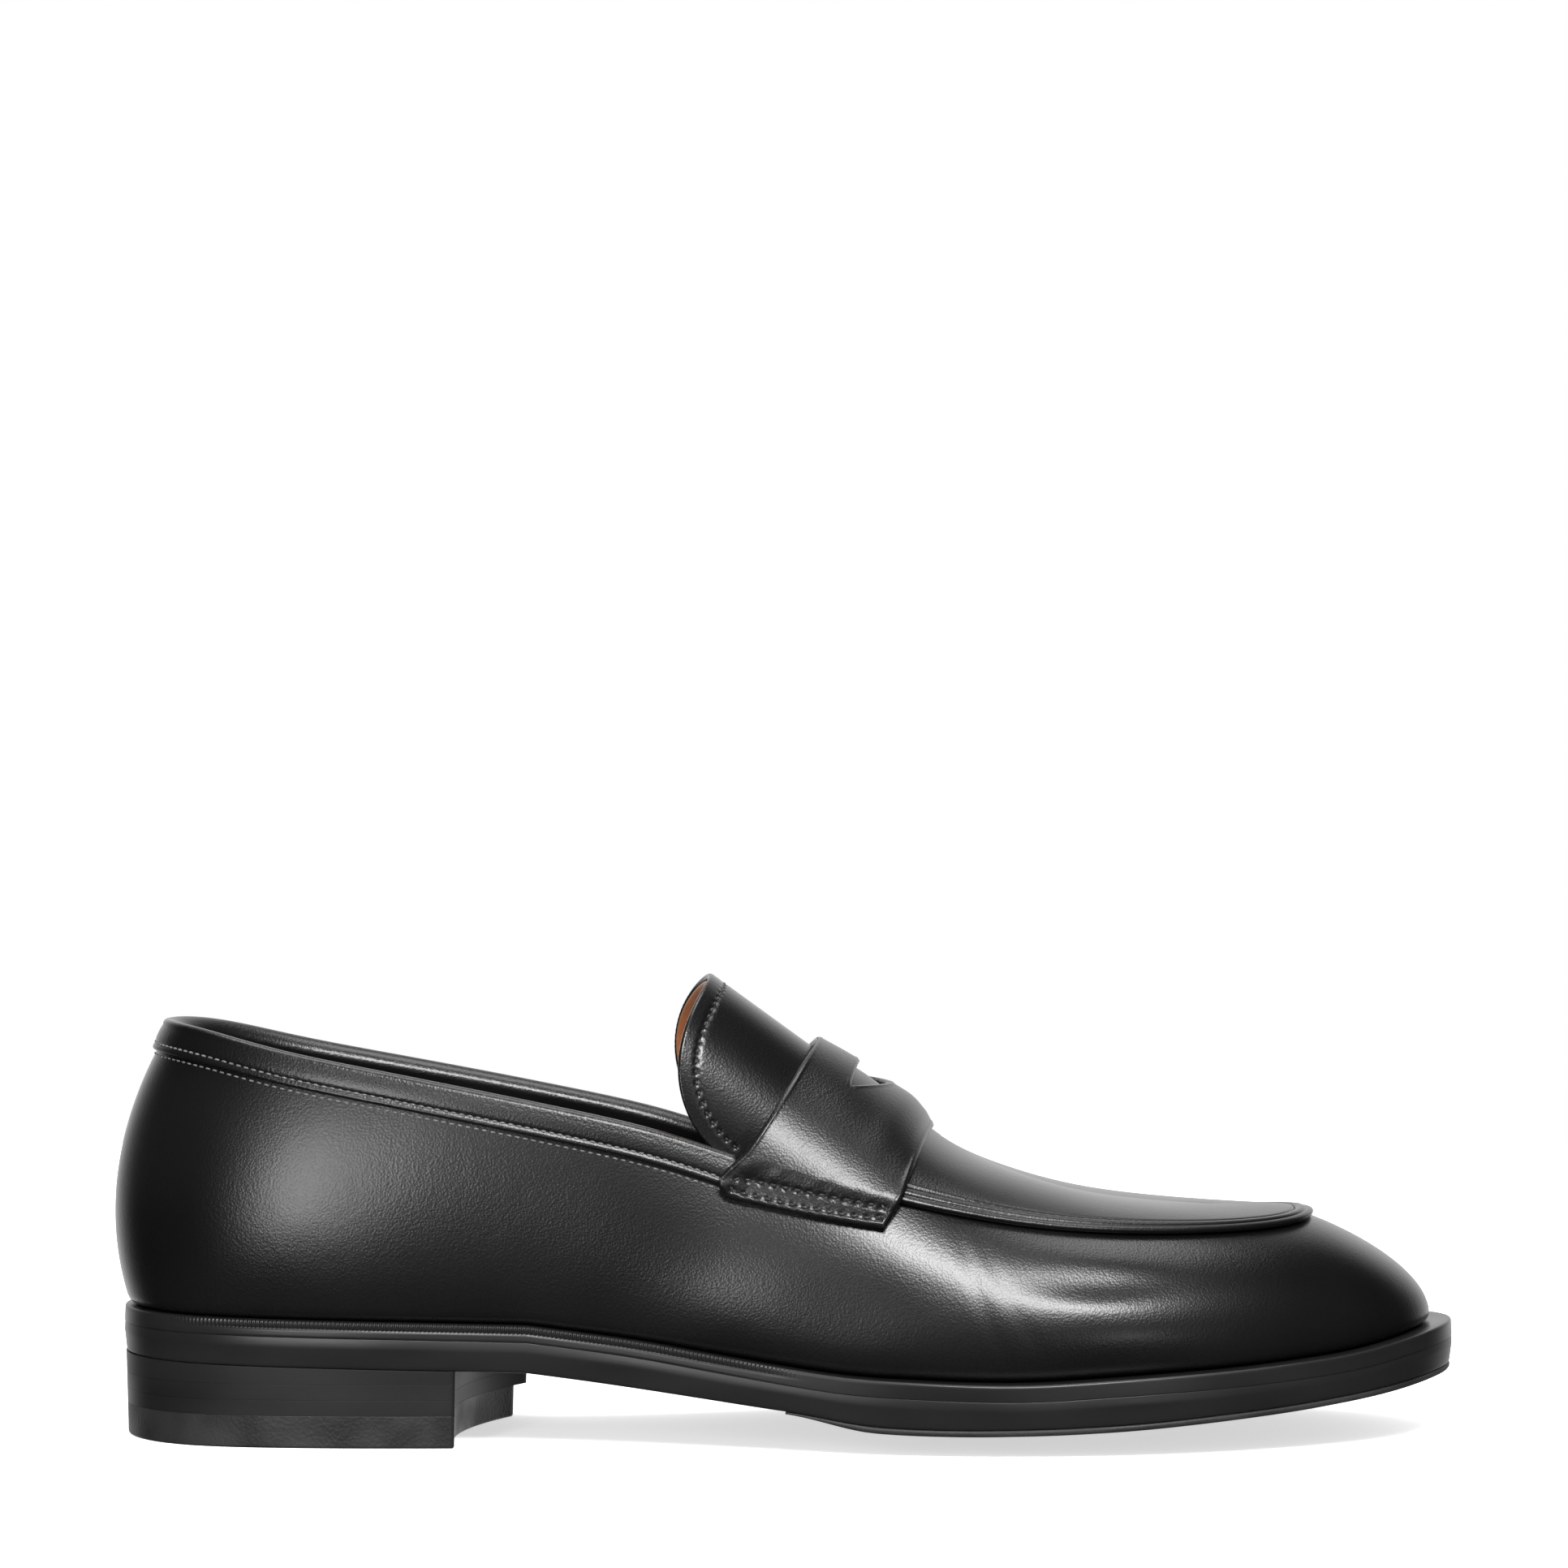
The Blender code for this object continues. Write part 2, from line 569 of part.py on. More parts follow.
def tongue_point(along, arc, depth):
    """Point of the rolled tongue: distance behind its hinge, arc from the crown, depth below the face."""
    quarter = 0.5 * np.pi * TONGUE_RADIUS
    turn = np.clip(arc / TONGUE_RADIUS, -0.5 * np.pi, 0.5 * np.pi)
    past = np.abs(arc) - np.minimum(np.abs(arc), quarter)
    radius = TONGUE_RADIUS - depth
    side = radius * np.sin(turn)
    drop = TONGUE_RADIUS - radius * np.cos(turn) + past
    back = np.array([-np.cos(TONGUE_SLOPE), 0.0, np.sin(TONGUE_SLOPE)])
    up = np.array([np.sin(TONGUE_SLOPE), 0.0, np.cos(TONGUE_SLOPE)])
    across = np.array([0.0, 1.0, 0.0])
    return (np.array(TONGUE_HINGE) + along[..., None] * back + side[..., None] * across
            - drop[..., None] * up)


def tongue_piece(name, near, far, inset, material_name, hinge):
    """One layer of the tongue, its free end rounded like a shield."""
    half = TONGUE_HALF_ARC - inset
    share = np.sin(np.linspace(-0.5, 0.5, 23) * np.pi)
    arc = half * share
    end = (TONGUE_LENGTH - inset) * np.sqrt(np.clip(1.0 - np.abs(share) ** 3.6, 0.0, 1.0))
    run = np.linspace(0.0, 1.0, 7)
    along = -TONGUE_ROOT + (end[:, None] + TONGUE_ROOT) * run
    arcs = np.broadcast_to(arc[:, None], along.shape)
    layer = (tongue_point(along, arcs, near), tongue_point(along, arcs, far))
    made = thick_sheet(name, [layer], material_name, origin=tuple(world(TONGUE_HINGE)))
    made.parent = hinge
    made.location = (0.0, 0.0, 0.0)
    return made


def tongue():
    """Tongue and its lining, hung from an empty on the fold line behind the strap."""
    hinge = bpy.data.objects.new("tongue_hinge", None)
    hinge.location = tuple(world(TONGUE_HINGE))
    bpy.context.collection.objects.link(hinge)
    tongue_piece("tongue", 0.0, TONGUE_THICKNESS, 0.0, "black_calf", hinge)
    back = TONGUE_THICKNESS + GAP
    tongue_piece("tongue_lining", back, back + TONGUE_LINING_THICKNESS, 0.6, "tan_lining", hinge)


# ---- sole ----

def offset_loop(margin, per_station=PER_STATION):
    """Dense plan loops (lateral, medial), each heel to toe, at a margin outside the feather edge."""
    count = LAST_STATION * per_station + 1
    fold = np.linspace(0.0, LAST_STATION, count)
    sides = []
    for s in (fold, FULL_TURN - fold):
        reach = margin(s) if callable(margin) else np.full(s.shape, float(margin))
        points = feather(s) + outward(s) * reach[:, None]
        sides.append(points[:, :2])
    return sides


def side_width(side, x):
    order = np.argsort(side[:, 0])
    return np.interp(x, side[order, 0], side[order, 1])


def end_spacing(first, last, rows, round_first, round_last):
    """Distances from first to last, crowded towards each round end."""
    low = -0.5 * np.pi if round_first else 0.0
    high = 0.5 * np.pi if round_last else 0.0
    if not round_first and not round_last:
        return np.linspace(first, last, rows)
    turn = np.linspace(low, high, rows)
    share = (np.sin(turn) - np.sin(low)) / (np.sin(high) - np.sin(low))
    even = np.linspace(0.0, 1.0, rows)
    return first + (last - first) * (0.75 * share + 0.25 * even)


def plate(name, sides, top, bottom, rows, material_name, first=None, last=None, columns=5):
    """Slab between two height functions of (distance, share across), bounded by a plan loop."""
    lateral, medial = sides
    start = lateral[0, 0] if first is None else first
    finish = lateral[-1, 0] if last is None else last
    x = end_spacing(start, finish, rows, first is None, last is None)
    left, right = side_width(lateral, x), side_width(medial, x)
    if first is None:
        left[0] = right[0] = lateral[0, 1]
    if last is None:
        left[-1] = right[-1] = lateral[-1, 1]
    share = np.linspace(0.0, 1.0, columns)
    y = left[:, None] + (right - left)[:, None] * share
    xs = np.broadcast_to(x[:, None], y.shape)
    across = (2.0 * share - 1.0) * (right > left)[:, None]
    upper = np.stack([xs, y, top(xs, across)], axis=-1)
    lower = np.stack([xs, y, bottom(xs, across)], axis=-1)
    return thick_sheet(name, [(upper, lower)], material_name)


def sole_margin(s):
    return MARGIN(s)[..., 0]


def tread_height(x, across):
    """Underside of the outsole: its edge height less the camber towards the middle."""
    return outsole_height(x) - SOLE_CAMBER * camber_share(x) * (1.0 - across ** 2)


def outsole_top(x, across):
    return feather_height(x) - WELT_THICKNESS - 2.0 * GAP + 0.0 * across


def outsole():
    return plate("outsole", offset_loop(sole_margin), outsole_top, tread_height, 27,
                 "black_sole_leather", columns=7)


def half_sole():
    """Thin rubber tread under the forepart, skived at its rear edge."""
    def bottom(x, across):
        thickness = HALF_SOLE_THICKNESS * (0.45 + 0.55 * smooth_step(HALF_SOLE_REAR, 168.0, x))
        return tread_height(x, across) - GAP - thickness

    return plate("half_sole", offset_loop(lambda s: sole_margin(s) - 0.5),
                 lambda x, across: tread_height(x, across) - GAP, bottom, 18,
                 "black_rubber", first=HALF_SOLE_REAR, columns=7)


def welt():
    """Leather welt all round, between the upper's margin and the outsole."""
    s = round_stations()
    out = feather(s) + outward(s) * sole_margin(s)[:, None]
    inside = feather(s) - outward(s) * WELT_INNER_MARGIN
    top = on_seat(np.stack([out, inside], axis=1)) - np.array([0.0, 0.0, GAP])
    bottom = top - np.array([0.0, 0.0, WELT_THICKNESS])
    return thick_sheet("welt", [(top, bottom)], "black_sole_leather", ring=True)


def level(rise):
    """Height function at a rise above the feather edge, flat across."""
    return lambda x, across: feather_height(x) + rise + 0.0 * across


def fillers():
    """Cork under the forepart; a leather waist filler carries the steel shank."""
    loop = offset_loop(-LASTING_MARGIN - 0.6)
    floor = -WELT_THICKNESS - GAP
    plate("cork_filler", loop, level(UPPER_THICKNESS), level(floor), 14, "cork", first=133.0)
    plate("waist_filler", loop, level(-0.2), level(floor), 16, "insole_board", last=132.5)
    half_width = 7.0
    x = np.linspace(44.0, 131.0, 15)
    y = np.array([-half_width, -3.0, 3.0, half_width])
    xs, ys = np.meshgrid(x, y, indexing="ij")
    top = np.stack([xs, ys, feather_height(xs) + UPPER_THICKNESS - 0.1], axis=-1)
    bottom = top - np.array([0.0, 0.0, 1.2])
    thick_sheet("shank", [(top, bottom)], "spring_steel")


def pad_rise(x):
    """Extra height of the sock where it covers the heel pad."""
    return (PAD_THICKNESS + GAP) * (1.0 - smooth_step(PAD_FRONT + 1.0, PAD_FRONT + 18.0, x))


def sock_margin(s):
    return -(lining_depth(s, np.full(np.shape(s), 0.2)) + LINING_THICKNESS + 1.0)


def insole():
    """Insole board on the lasting margin, heel pad and sock lining above it."""
    board_low = UPPER_THICKNESS + GAP
    board_high = board_low + BOARD_THICKNESS
    plate("insole_board", offset_loop(-2.2), level(board_high), level(board_low), 22, "insole_board")
    pad_low = board_high + GAP
    plate("heel_pad", offset_loop(-6.2), level(pad_low + PAD_THICKNESS), level(pad_low), 9, "foam",
          last=PAD_FRONT)
    plate("sock", offset_loop(sock_margin),
          lambda x, across: feather_height(x) + pad_low + SOCK_THICKNESS + pad_rise(x),
          lambda x, across: feather_height(x) + pad_low + pad_rise(x), 26, "black_lining")


# ---- heel ----

def breast_line(count):
    """Concave heel front from the medial corner to the lateral corner."""
    lateral, medial = offset_loop(sole_margin)
    start = np.array([BREAST_MEDIAL_X, side_width(medial, BREAST_MEDIAL_X)])
    end = np.array([BREAST_LATERAL_X, side_width(lateral, BREAST_LATERAL_X)])
    t = np.linspace(0.0, 1.0, count)[:, None]
    bow = np.column_stack([4.0 * t * (1.0 - t), 0.0 * t])
    return start + (end - start) * t - bow * BREAST_HOLLOW


def heel_outline(cut_corner):
    """Plan of a lift: round the back from the lateral breast corner, then across the breast."""
    lateral, medial = offset_loop(sole_margin)
    back = lateral[lateral[:, 0] < BREAST_LATERAL_X - 3.0][::-1]
    front = medial[medial[:, 0] < BREAST_MEDIAL_X - 3.0][1:]
    breast = breast_line(9)
    if cut_corner > 0.0:
        toward_back = breast[0] - (cut_corner, 0.0)
        breast = np.concatenate([[toward_back + (0.0, 0.25)], [breast[0] - (0.6 * cut_corner, cut_corner)],
                                 breast[2:]])
    return np.concatenate([back, front, breast])


def heel_pin_cutter():
    """Clearance holes for the heel pins, as one hidden cutter."""
    body = bmesh.new()
    for x, y in HEEL_PIN_PLACES:
        added = bmesh.ops.create_cone(body, cap_ends=True, segments=10, radius1=1.0, radius2=1.0, depth=1.0)
        radius = (HEEL_PIN_RADIUS + HEEL_PIN_CLEARANCE) * 0.001
        bmesh.ops.scale(body, verts=added["verts"], vec=(radius, radius, 0.040))
        place = world((x, y, 0.0))
        bmesh.ops.translate(body, verts=added["verts"], vec=tuple(place))
    mesh = bpy.data.meshes.new("heel_pin_cutter")
    body.to_mesh(mesh)
    body.free()
    cutter = bpy.data.objects.new("heel_pin_cutter", mesh)
    cutter.hide_render = True
    cutter.display_type = "WIRE"
    bpy.context.collection.objects.link(cutter)
    return cutter


def drill(body, cutter):
    modifier = body.modifiers.new("pin_holes", "BOOLEAN")
    modifier.operation = "DIFFERENCE"
    modifier.solver = "EXACT"
    modifier.object = cutter


def heel():
    """Top piece, two flat lifts, a wedge lift under the sole, and the pins that hold them."""
    cutter = heel_pin_cutter()
    drill(extruded_outline("top_piece", heel_outline(CORNER_CUT), 0.0, TOP_PIECE_HEIGHT, "black_rubber"),
          cutter)
    bottom = TOP_PIECE_HEIGHT + GAP
    for number in (1, 2):
        lift = extruded_outline(f"heel_lift_{number}", heel_outline(0.0), bottom, bottom + LIFT_THICKNESS,
                                "black_sole_leather")
        drill(lift, cutter)
        bottom += LIFT_THICKNESS + GAP
    wedge = extruded_outline("heel_lift_3", heel_outline(0.0), bottom,
                             lambda x: outsole_height(x) - GAP, "black_sole_leather")
    wedge_floor = bottom
    for number, (x, y) in enumerate(HEEL_PIN_PLACES, start=1):
        turn = np.arange(10) * 2.0 * np.pi / 10
        ring = np.column_stack([x + HEEL_PIN_RADIUS * np.cos(turn), y + HEEL_PIN_RADIUS * np.sin(turn)])
        extruded_outline(f"heel_pin_{number}", ring, 0.8, wedge_floor - GAP, "brass")
    return wedge


def build():
    for old in list(bpy.data.objects):
        bpy.data.objects.remove(old, do_unlink=True)
    upper_wall()
    collar_band()
    apron()
    strap()
    vamp_lining()
    quarter_lining()
    stiffener("heel_counter", -6.0, 6.0, 0.66)
    stiffener("toe_puff", 13.0, 19.0, 0.97)
    tongue()
    outsole()
    half_sole()
    welt()
    fillers()
    insole()
    heel()


build()
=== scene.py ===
# Penny loafer for the right foot: black calf upper, tan tongue lining, welted sole with a rubber tread.
# Toe along +X, outer side of the foot facing -Y.
#
# Shoe measures below are millimetres from the back of the heel, as a last maker gives them.
# A station s runs round the shoe: 0 at the back seam, 16 at the toe, 32 back at the seam.
# A height w climbs a section: 0 at the feather edge, 1 at the top line or apron seam, 2 at the crown.

import math
import bpy
import numpy as np
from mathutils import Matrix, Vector


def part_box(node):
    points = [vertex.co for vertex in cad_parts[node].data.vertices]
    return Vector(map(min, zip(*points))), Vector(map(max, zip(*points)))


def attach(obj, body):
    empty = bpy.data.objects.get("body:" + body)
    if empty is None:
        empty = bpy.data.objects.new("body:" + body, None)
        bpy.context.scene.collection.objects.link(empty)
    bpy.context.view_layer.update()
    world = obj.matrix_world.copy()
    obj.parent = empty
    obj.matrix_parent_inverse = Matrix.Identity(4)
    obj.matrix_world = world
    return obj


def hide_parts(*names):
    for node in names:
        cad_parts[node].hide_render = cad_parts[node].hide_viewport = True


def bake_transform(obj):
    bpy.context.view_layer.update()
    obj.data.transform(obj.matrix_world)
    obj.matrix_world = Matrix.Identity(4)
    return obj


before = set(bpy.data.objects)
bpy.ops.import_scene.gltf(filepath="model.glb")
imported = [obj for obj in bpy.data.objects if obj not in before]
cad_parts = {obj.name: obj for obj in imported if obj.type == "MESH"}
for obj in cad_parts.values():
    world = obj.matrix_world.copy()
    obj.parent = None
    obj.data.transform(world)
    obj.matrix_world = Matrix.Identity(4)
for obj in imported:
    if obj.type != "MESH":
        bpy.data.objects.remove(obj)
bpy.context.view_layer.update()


# the last is the form the shoe is built on
last = {
    "toeStation": 16,
    "throatStation": 8.0,      # rear edge of the strap
    "heelSeatEnd": 93.0,       # the seat is flat up to here
    "upperThickness": 1.4,
    "liningThickness": 1.0,
    "layerGap": 0.4,
    "smoothing": 7.0,          # past the seat, heights are averaged over this far each way
}
toeStation = last["toeStation"]
fullTurn = 2 * toeStation
archStations = toeStation - last["throatStation"]
upward = np.array([0.0, 0.0, 1.0])
farAway = 99.0

# feather edge: distance, lateral and medial half widths
featherPlan = (
    (1.5, 0.0, 0.0), (5.5, -15.5, 15.2), (18.0, -27.0, 26.5), (38.0, -31.5, 30.5),
    (60.0, -32.5, 30.0), (80.0, -32.3, 27.8), (98.0, -32.7, 26.5), (114.0, -34.2, 27.3),
    (130.0, -36.8, 30.0), (150.0, -40.8, 35.2), (175.0, -45.2, 41.8), (201.0, -47.3, 46.6),
    (228.0, -45.8, 47.6), (253.0, -39.8, 43.2), (275.0, -29.5, 33.5), (290.5, -16.5, 20.5),
    (297.0, 2.0, 2.0),
)

# top line, then apron seam: distance, lateral and medial half widths, height
topLine = (
    (11.5, 0.0, 0.0, 93.6), (14.0, -10.5, 10.5, 93.5), (22.5, -19.5, 19.5, 92.0),
    (38.0, -25.5, 25.5, 88.2), (58.0, -28.5, 28.0, 84.2), (79.0, -30.5, 29.5, 80.2),
    (100.0, -31.5, 30.5, 76.0), (121.0, -32.0, 31.2, 71.2), (139.5, -32.0, 31.5, 65.3),
    (158.0, -34.8, 34.0, 59.2), (177.5, -36.5, 35.8, 54.0), (200.0, -35.8, 36.0, 49.6),
    (222.0, -33.5, 35.0, 47.4), (243.0, -27.8, 30.5, 46.8), (258.5, -19.8, 23.0, 47.1),
    (267.6, -10.3, 14.0, 48.0), (270.3, 2.0, 2.0, 48.7),
)

# bulge of each section: out and up from the feather edge, out and down from the top
sectionBulge = (
    (5.5, 16.0, 16.0, 26.0), (5.0, 16.0, 13.0, 26.0), (4.5, 15.5, 10.0, 26.0),
    (4.0, 15.0, 7.5, 25.0), (3.8, 14.0, 6.0, 23.0), (3.5, 13.0, 5.0, 21.0),
    (3.5, 12.0, 4.5, 19.0), (3.5, 12.0, 4.5, 17.0), (3.8, 12.0, 5.0, 15.0),
    (4.0, 12.0, 6.5, 13.0), (4.3, 12.0, 8.0, 11.0), (4.5, 12.0, 9.5, 9.0),
    (4.3, 11.5, 10.5, 7.5), (3.5, 11.0, 11.5, 6.0), (2.8, 10.5, 12.0, 5.0), (2.0, 10.0, 12.0, 4.6),
    (1.6, 9.5, 12.0, 4.5),
)

# crown of the last from the throat to the toe end of the apron
crownLine = (
    (156.0, 0.0, 86.0), (170.0, 0.0, 77.6), (183.0, 0.3, 66.6), (197.0, 0.7, 58.8),
    (213.0, 1.1, 53.4), (228.0, 1.5, 50.8), (239.0, 1.8, 49.8), (245.0, 2.0, 49.4),
    (247.0, 2.0, 49.3),
)

# heights along the shoe
featherHeights = (
    (0.0, 29.4), (93.0, 27.4), (103.0, 26.2), (118.0, 24.4), (132.5, 22.0), (153.0, 18.9),
    (166.0, 17.3), (191.0, 16.4), (205.0, 16.4), (228.0, 17.8), (252.0, 19.2), (276.0, 21.2),
    (289.0, 23.6), (302.0, 26.2),
)
outsoleHeights = (
    (0.0, 18.8), (93.0, 16.8), (111.0, 14.6), (129.0, 12.3), (147.0, 10.0), (160.0, 8.6),
    (174.0, 7.6), (191.0, 7.4), (209.0, 7.8), (227.0, 8.7), (245.0, 10.2), (264.0, 11.9),
    (283.0, 14.1), (302.0, 17.4),
)
camberShares = (
    (0.0, 0.0), (93.0, 0.0), (120.0, 0.4), (160.0, 0.8), (193.0, 1.0), (230.0, 0.75),
    (265.0, 0.32), (302.0, 0.0),
)

# how far the sole stands out beyond the feather edge, station by station
soleMargins = (1.3, 1.3, 1.3, 1.4, 1.5, 1.6, 1.8, 2.2, 2.8, 3.6, 4.4, 4.8, 5.0, 5.1, 5.2, 5.2, 5.2)

# place of the shoe's own zero in the frame: back of the sole, and the line the tongue is centred on
shoeZero = np.array([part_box("outsole")[0][0] * 1000.0 - (featherPlan[0][0] - soleMargins[0]),
                     500.0 * (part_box("tongue")[0][1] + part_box("tongue")[1][1]), 0.0])


def toFrame(points):
    # millimetres on the shoe to metres in the frame
    return (np.asarray(points, float) + shoeZero) * 0.001


def together(*values):
    # the values as arrays of one shape
    return np.broadcast_arrays(*[np.asarray(value, float) for value in values])


def smoothStep(start, end, value):
    # 0 before start, 1 after end, 3t^2 - 2t^3 between
    t = np.clip((np.asarray(value, float) - start) / (end - start), 0.0, 1.0)
    return t * t * (3.0 - 2.0 * t)


def stationSpline(points, closed):
    # cubic through points at whole stations: the bends m solve
    # m[i-1] + 4 m[i] + m[i+1] = 6 second differences
    points = np.asarray(points, float)
    count = len(points)
    matrix = np.eye(count) * 4.0 + np.eye(count, k=1) + np.eye(count, k=-1)
    rise = 6.0 * (np.roll(points, 1, axis=0) - 2.0 * points + np.roll(points, -1, axis=0))
    if closed:
        matrix[0, -1] = matrix[-1, 0] = 1.0
    else:
        matrix[0, 1] = matrix[-1, -2] = 0.0
        rise[0] = rise[-1] = 0.0
    bend = np.linalg.solve(matrix, rise)

    def at(station):
        station = np.asarray(station, float)
        station = np.mod(station, count) if closed else station
        first = np.floor(station).astype(int)
        first = first % count if closed else np.clip(first, 0, count - 2)
        second = (first + 1) % count
        f = (station - first)[..., None]
        g = 1.0 - f
        return (g * points[first] + f * points[second]
                + (g ** 3 - g) * bend[first] / 6.0 + (f ** 3 - f) * bend[second] / 6.0)

    return at


def heightProfile(points):
    # straight runs between points, averaged over a short window past the heel seat
    xs, zs = np.asarray(points, float).T
    window = np.linspace(-last["smoothing"], last["smoothing"], 15)

    def at(x):
        x = np.asarray(x, float)
        reach = np.clip((x[..., None] - last["heelSeatEnd"]) / last["smoothing"], 0.0, 1.0)
        return np.interp(x[..., None] + window * reach, xs, zs).mean(axis=-1)

    return at


featherHeight = heightProfile(featherHeights)
outsoleHeight = heightProfile(outsoleHeights)
camberShare = heightProfile(camberShares)


def bothSides(rows):
    # back to toe, and the same rows again from the toe to the back
    return list(rows) + list(rows[-2:0:-1])


def loopPoints(rows):
    # one point per station: down the outer side, back along the inner side
    lateral = [(row[0], row[1], row[3] if len(row) > 3 else 0.0) for row in rows]
    medial = [(row[0], row[2], row[3] if len(row) > 3 else 0.0) for row in rows]
    return np.array(lateral + medial[-2:0:-1])


featherLoop = stationSpline(loopPoints(featherPlan), True)
topLoop = stationSpline(loopPoints(topLine), True)
bulgeLoop = stationSpline(bothSides(sectionBulge), True)
marginLoop = stationSpline([(m,) for m in bothSides(soleMargins)], True)
crownCurve = stationSpline(crownLine, False)


def onSeat(points):
    # the same points at the height of the feather edge
    return np.concatenate([points[..., :2], featherHeight(points[..., 0])[..., None]], axis=-1)


def outward(s):
    # horizontal unit vector out of the feather edge
    step = 0.02
    along = featherLoop(np.asarray(s) + step) - featherLoop(np.asarray(s) - step)
    side = np.stack([along[..., 1], -along[..., 0], 0.0 * along[..., 0]], axis=-1)
    return side / np.linalg.norm(side, axis=-1, keepdims=True)


def foldStation(s):
    # the same count on both sides: 0 at the back, 16 at the toe
    return toeStation - np.abs(np.mod(s, fullTurn) - toeStation)


def cubicArc(p0, p1, p2, p3, t):
    # Bezier curve: u^3 p0 + 3 u^2 t p1 + 3 u t^2 p2 + t^3 p3 with u = 1 - t
    t = np.asarray(t, float)[..., None]
    u = 1.0 - t
    return u ** 3 * p0 + 3 * u * u * t * p1 + 3 * u * t * t * p2 + t ** 3 * p3


def lastPoint(s, w):
    # wall: cubic from the feather edge to the top; arch: cubic from there to the crown
    s, w = together(s, w)
    base, top, bulge, out = onSeat(featherLoop(s)), topLoop(s), bulgeLoop(s), outward(s)
    low = base + out * bulge[..., 0:1] + upward * bulge[..., 1:2]
    high = top + out * bulge[..., 2:3] - upward * bulge[..., 3:4]
    wall = cubicArc(base, low, high, top, np.clip(w, 0.0, 1.0))
    past = foldStation(s) - last["throatStation"]
    crown = crownCurve(np.clip(past, 0.0, archStations))
    ramp = np.clip(past / 3.0, 0.0, 1.0)
    span = crown - top
    rise = np.stack([0.55 - 0.25 * ramp, 0.04 + 0.21 * ramp, 0.55 + 0.15 * ramp], axis=-1)
    fall = np.stack([0.4 * ramp, 0.55 - 0.15 * ramp, 0.0 * ramp], axis=-1)
    arch = cubicArc(top, top + rise * span, crown - fall * span, crown, np.clip(w - 1.0, 0.0, 1.0))
    return np.where((w > 1.0)[..., None], arch, wall)


def lastNormal(s, w):
    # cross product of the surface's two directions; on the crown line it has no sideways lean
    s, w = together(s, w)
    step = 0.02
    along = lastPoint(s + step, w) - lastPoint(s - step, w)
    up = lastPoint(s, np.clip(w + step, 0.0, 2.0)) - lastPoint(s, np.clip(w - step, 0.0, 2.0))
    normal = np.cross(along, up)
    normal /= np.maximum(np.linalg.norm(normal, axis=-1, keepdims=True), 1e-9)
    place = np.clip(foldStation(s) - last["throatStation"], 0.05, archStations - 0.05)
    slope = crownCurve(place + 0.05) - crownCurve(place - 0.05)
    ridge = np.stack([-slope[..., 2], 0.0 * place, slope[..., 0]], axis=-1)
    ridge /= np.linalg.norm(ridge, axis=-1, keepdims=True)
    return np.where((w > 1.999)[..., None], ridge, normal)


creases = {
    # station, lean, width and depth of each flex fold across the vamp
    "folds": ((10.72, -0.5, 0.055, 0.12), (10.98, -0.7, 0.05, 0.07)),
    # station, height, width, tallness and depth of each soft hollow
    "hollows": ((11.8, 0.62, 0.66, 0.11, 0.75), (9.7, 0.42, 0.8, 0.22, 0.7)),
    "innerShare": 0.7,         # the inner side of the foot folds less
}


def creaseDepth(s, w):
    # millimetres inward: d exp(-x^2) across a fold's leaning line, d exp(-x^2 - y^2) round a hollow
    fold = foldStation(s)
    side = np.where(np.mod(s, fullTurn) < toeStation, 1.0, creases["innerShare"])
    fade = smoothStep(0.05, 0.25, w) * (1.0 - smoothStep(0.75, 0.98, w))
    depth = 0.0
    for place, lean, width, size in creases["folds"]:
        depth = depth + groove(fold - lean * (w - 0.5), place, width, size)
    for place, height, width, tall, size in creases["hollows"]:
        depth = depth + groove(fold, place, width, size) * groove(w, height, tall, 1.0)
    return depth * fade * side


def layerPoint(s, w, depth):
    # a point at a depth inside (negative: outside) the leather's outer face
    s, w, depth = together(s, w, depth)
    return lastPoint(s, w) - lastNormal(s, w) * depth[..., None]


def rowInterp(values, xs, ys):
    # straight-line reading of each row's own table: ys where the rising xs reach the value
    index = np.clip((xs < values[:, None]).sum(axis=1), 1, xs.shape[1] - 1)
    row = np.arange(len(xs))
    x0, x1 = xs[row, index - 1], xs[row, index]
    f = np.clip((values - x0) / np.maximum(x1 - x0, 1e-9), 0.0, 1.0)
    return ys[index - 1] * (1.0 - f) + ys[index] * f


def walked(path):
    # length walked along each row of points, from 0
    steps = np.linalg.norm(np.diff(path, axis=-2), axis=-1)
    return np.concatenate([np.zeros(steps.shape[:-1] + (1,)), np.cumsum(steps, axis=-1)], axis=-1)


def wallTrial(s):
    # trial heights up the wall, and the points there
    trial = np.linspace(0.0, 1.0, 81)
    return trial, lastPoint(np.asarray(s, float)[:, None], trial[None, :])


def belowTop(s, distance):
    # height w at a distance down the wall from the top line
    trial, path = wallTrial(s)
    length = walked(path)
    return rowInterp(length[:, -1] - distance, length, trial)


def aboveFeather(s, rise):
    # height w at a rise above the feather edge
    trial, path = wallTrial(s)
    return rowInterp(path[:, 0, 2] + rise, path[:, :, 2], trial)


def addPiece(name, points, faces, finish, body, replaces=(), slot=None, smooth=True):
    # a mesh in frame metres with its object at the origin
    mesh = bpy.data.meshes.new(name)
    mesh.from_pydata(np.asarray(points, float), [], faces)
    mesh.update()
    mesh.polygons.foreach_set("use_smooth", np.full(len(mesh.polygons), smooth))
    mesh.materials.append(finish)
    piece = bpy.data.objects.new(name, mesh)
    bpy.context.collection.objects.link(piece)
    if body:
        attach(piece, body)
    if replaces:
        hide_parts(*replaces)
    return piece


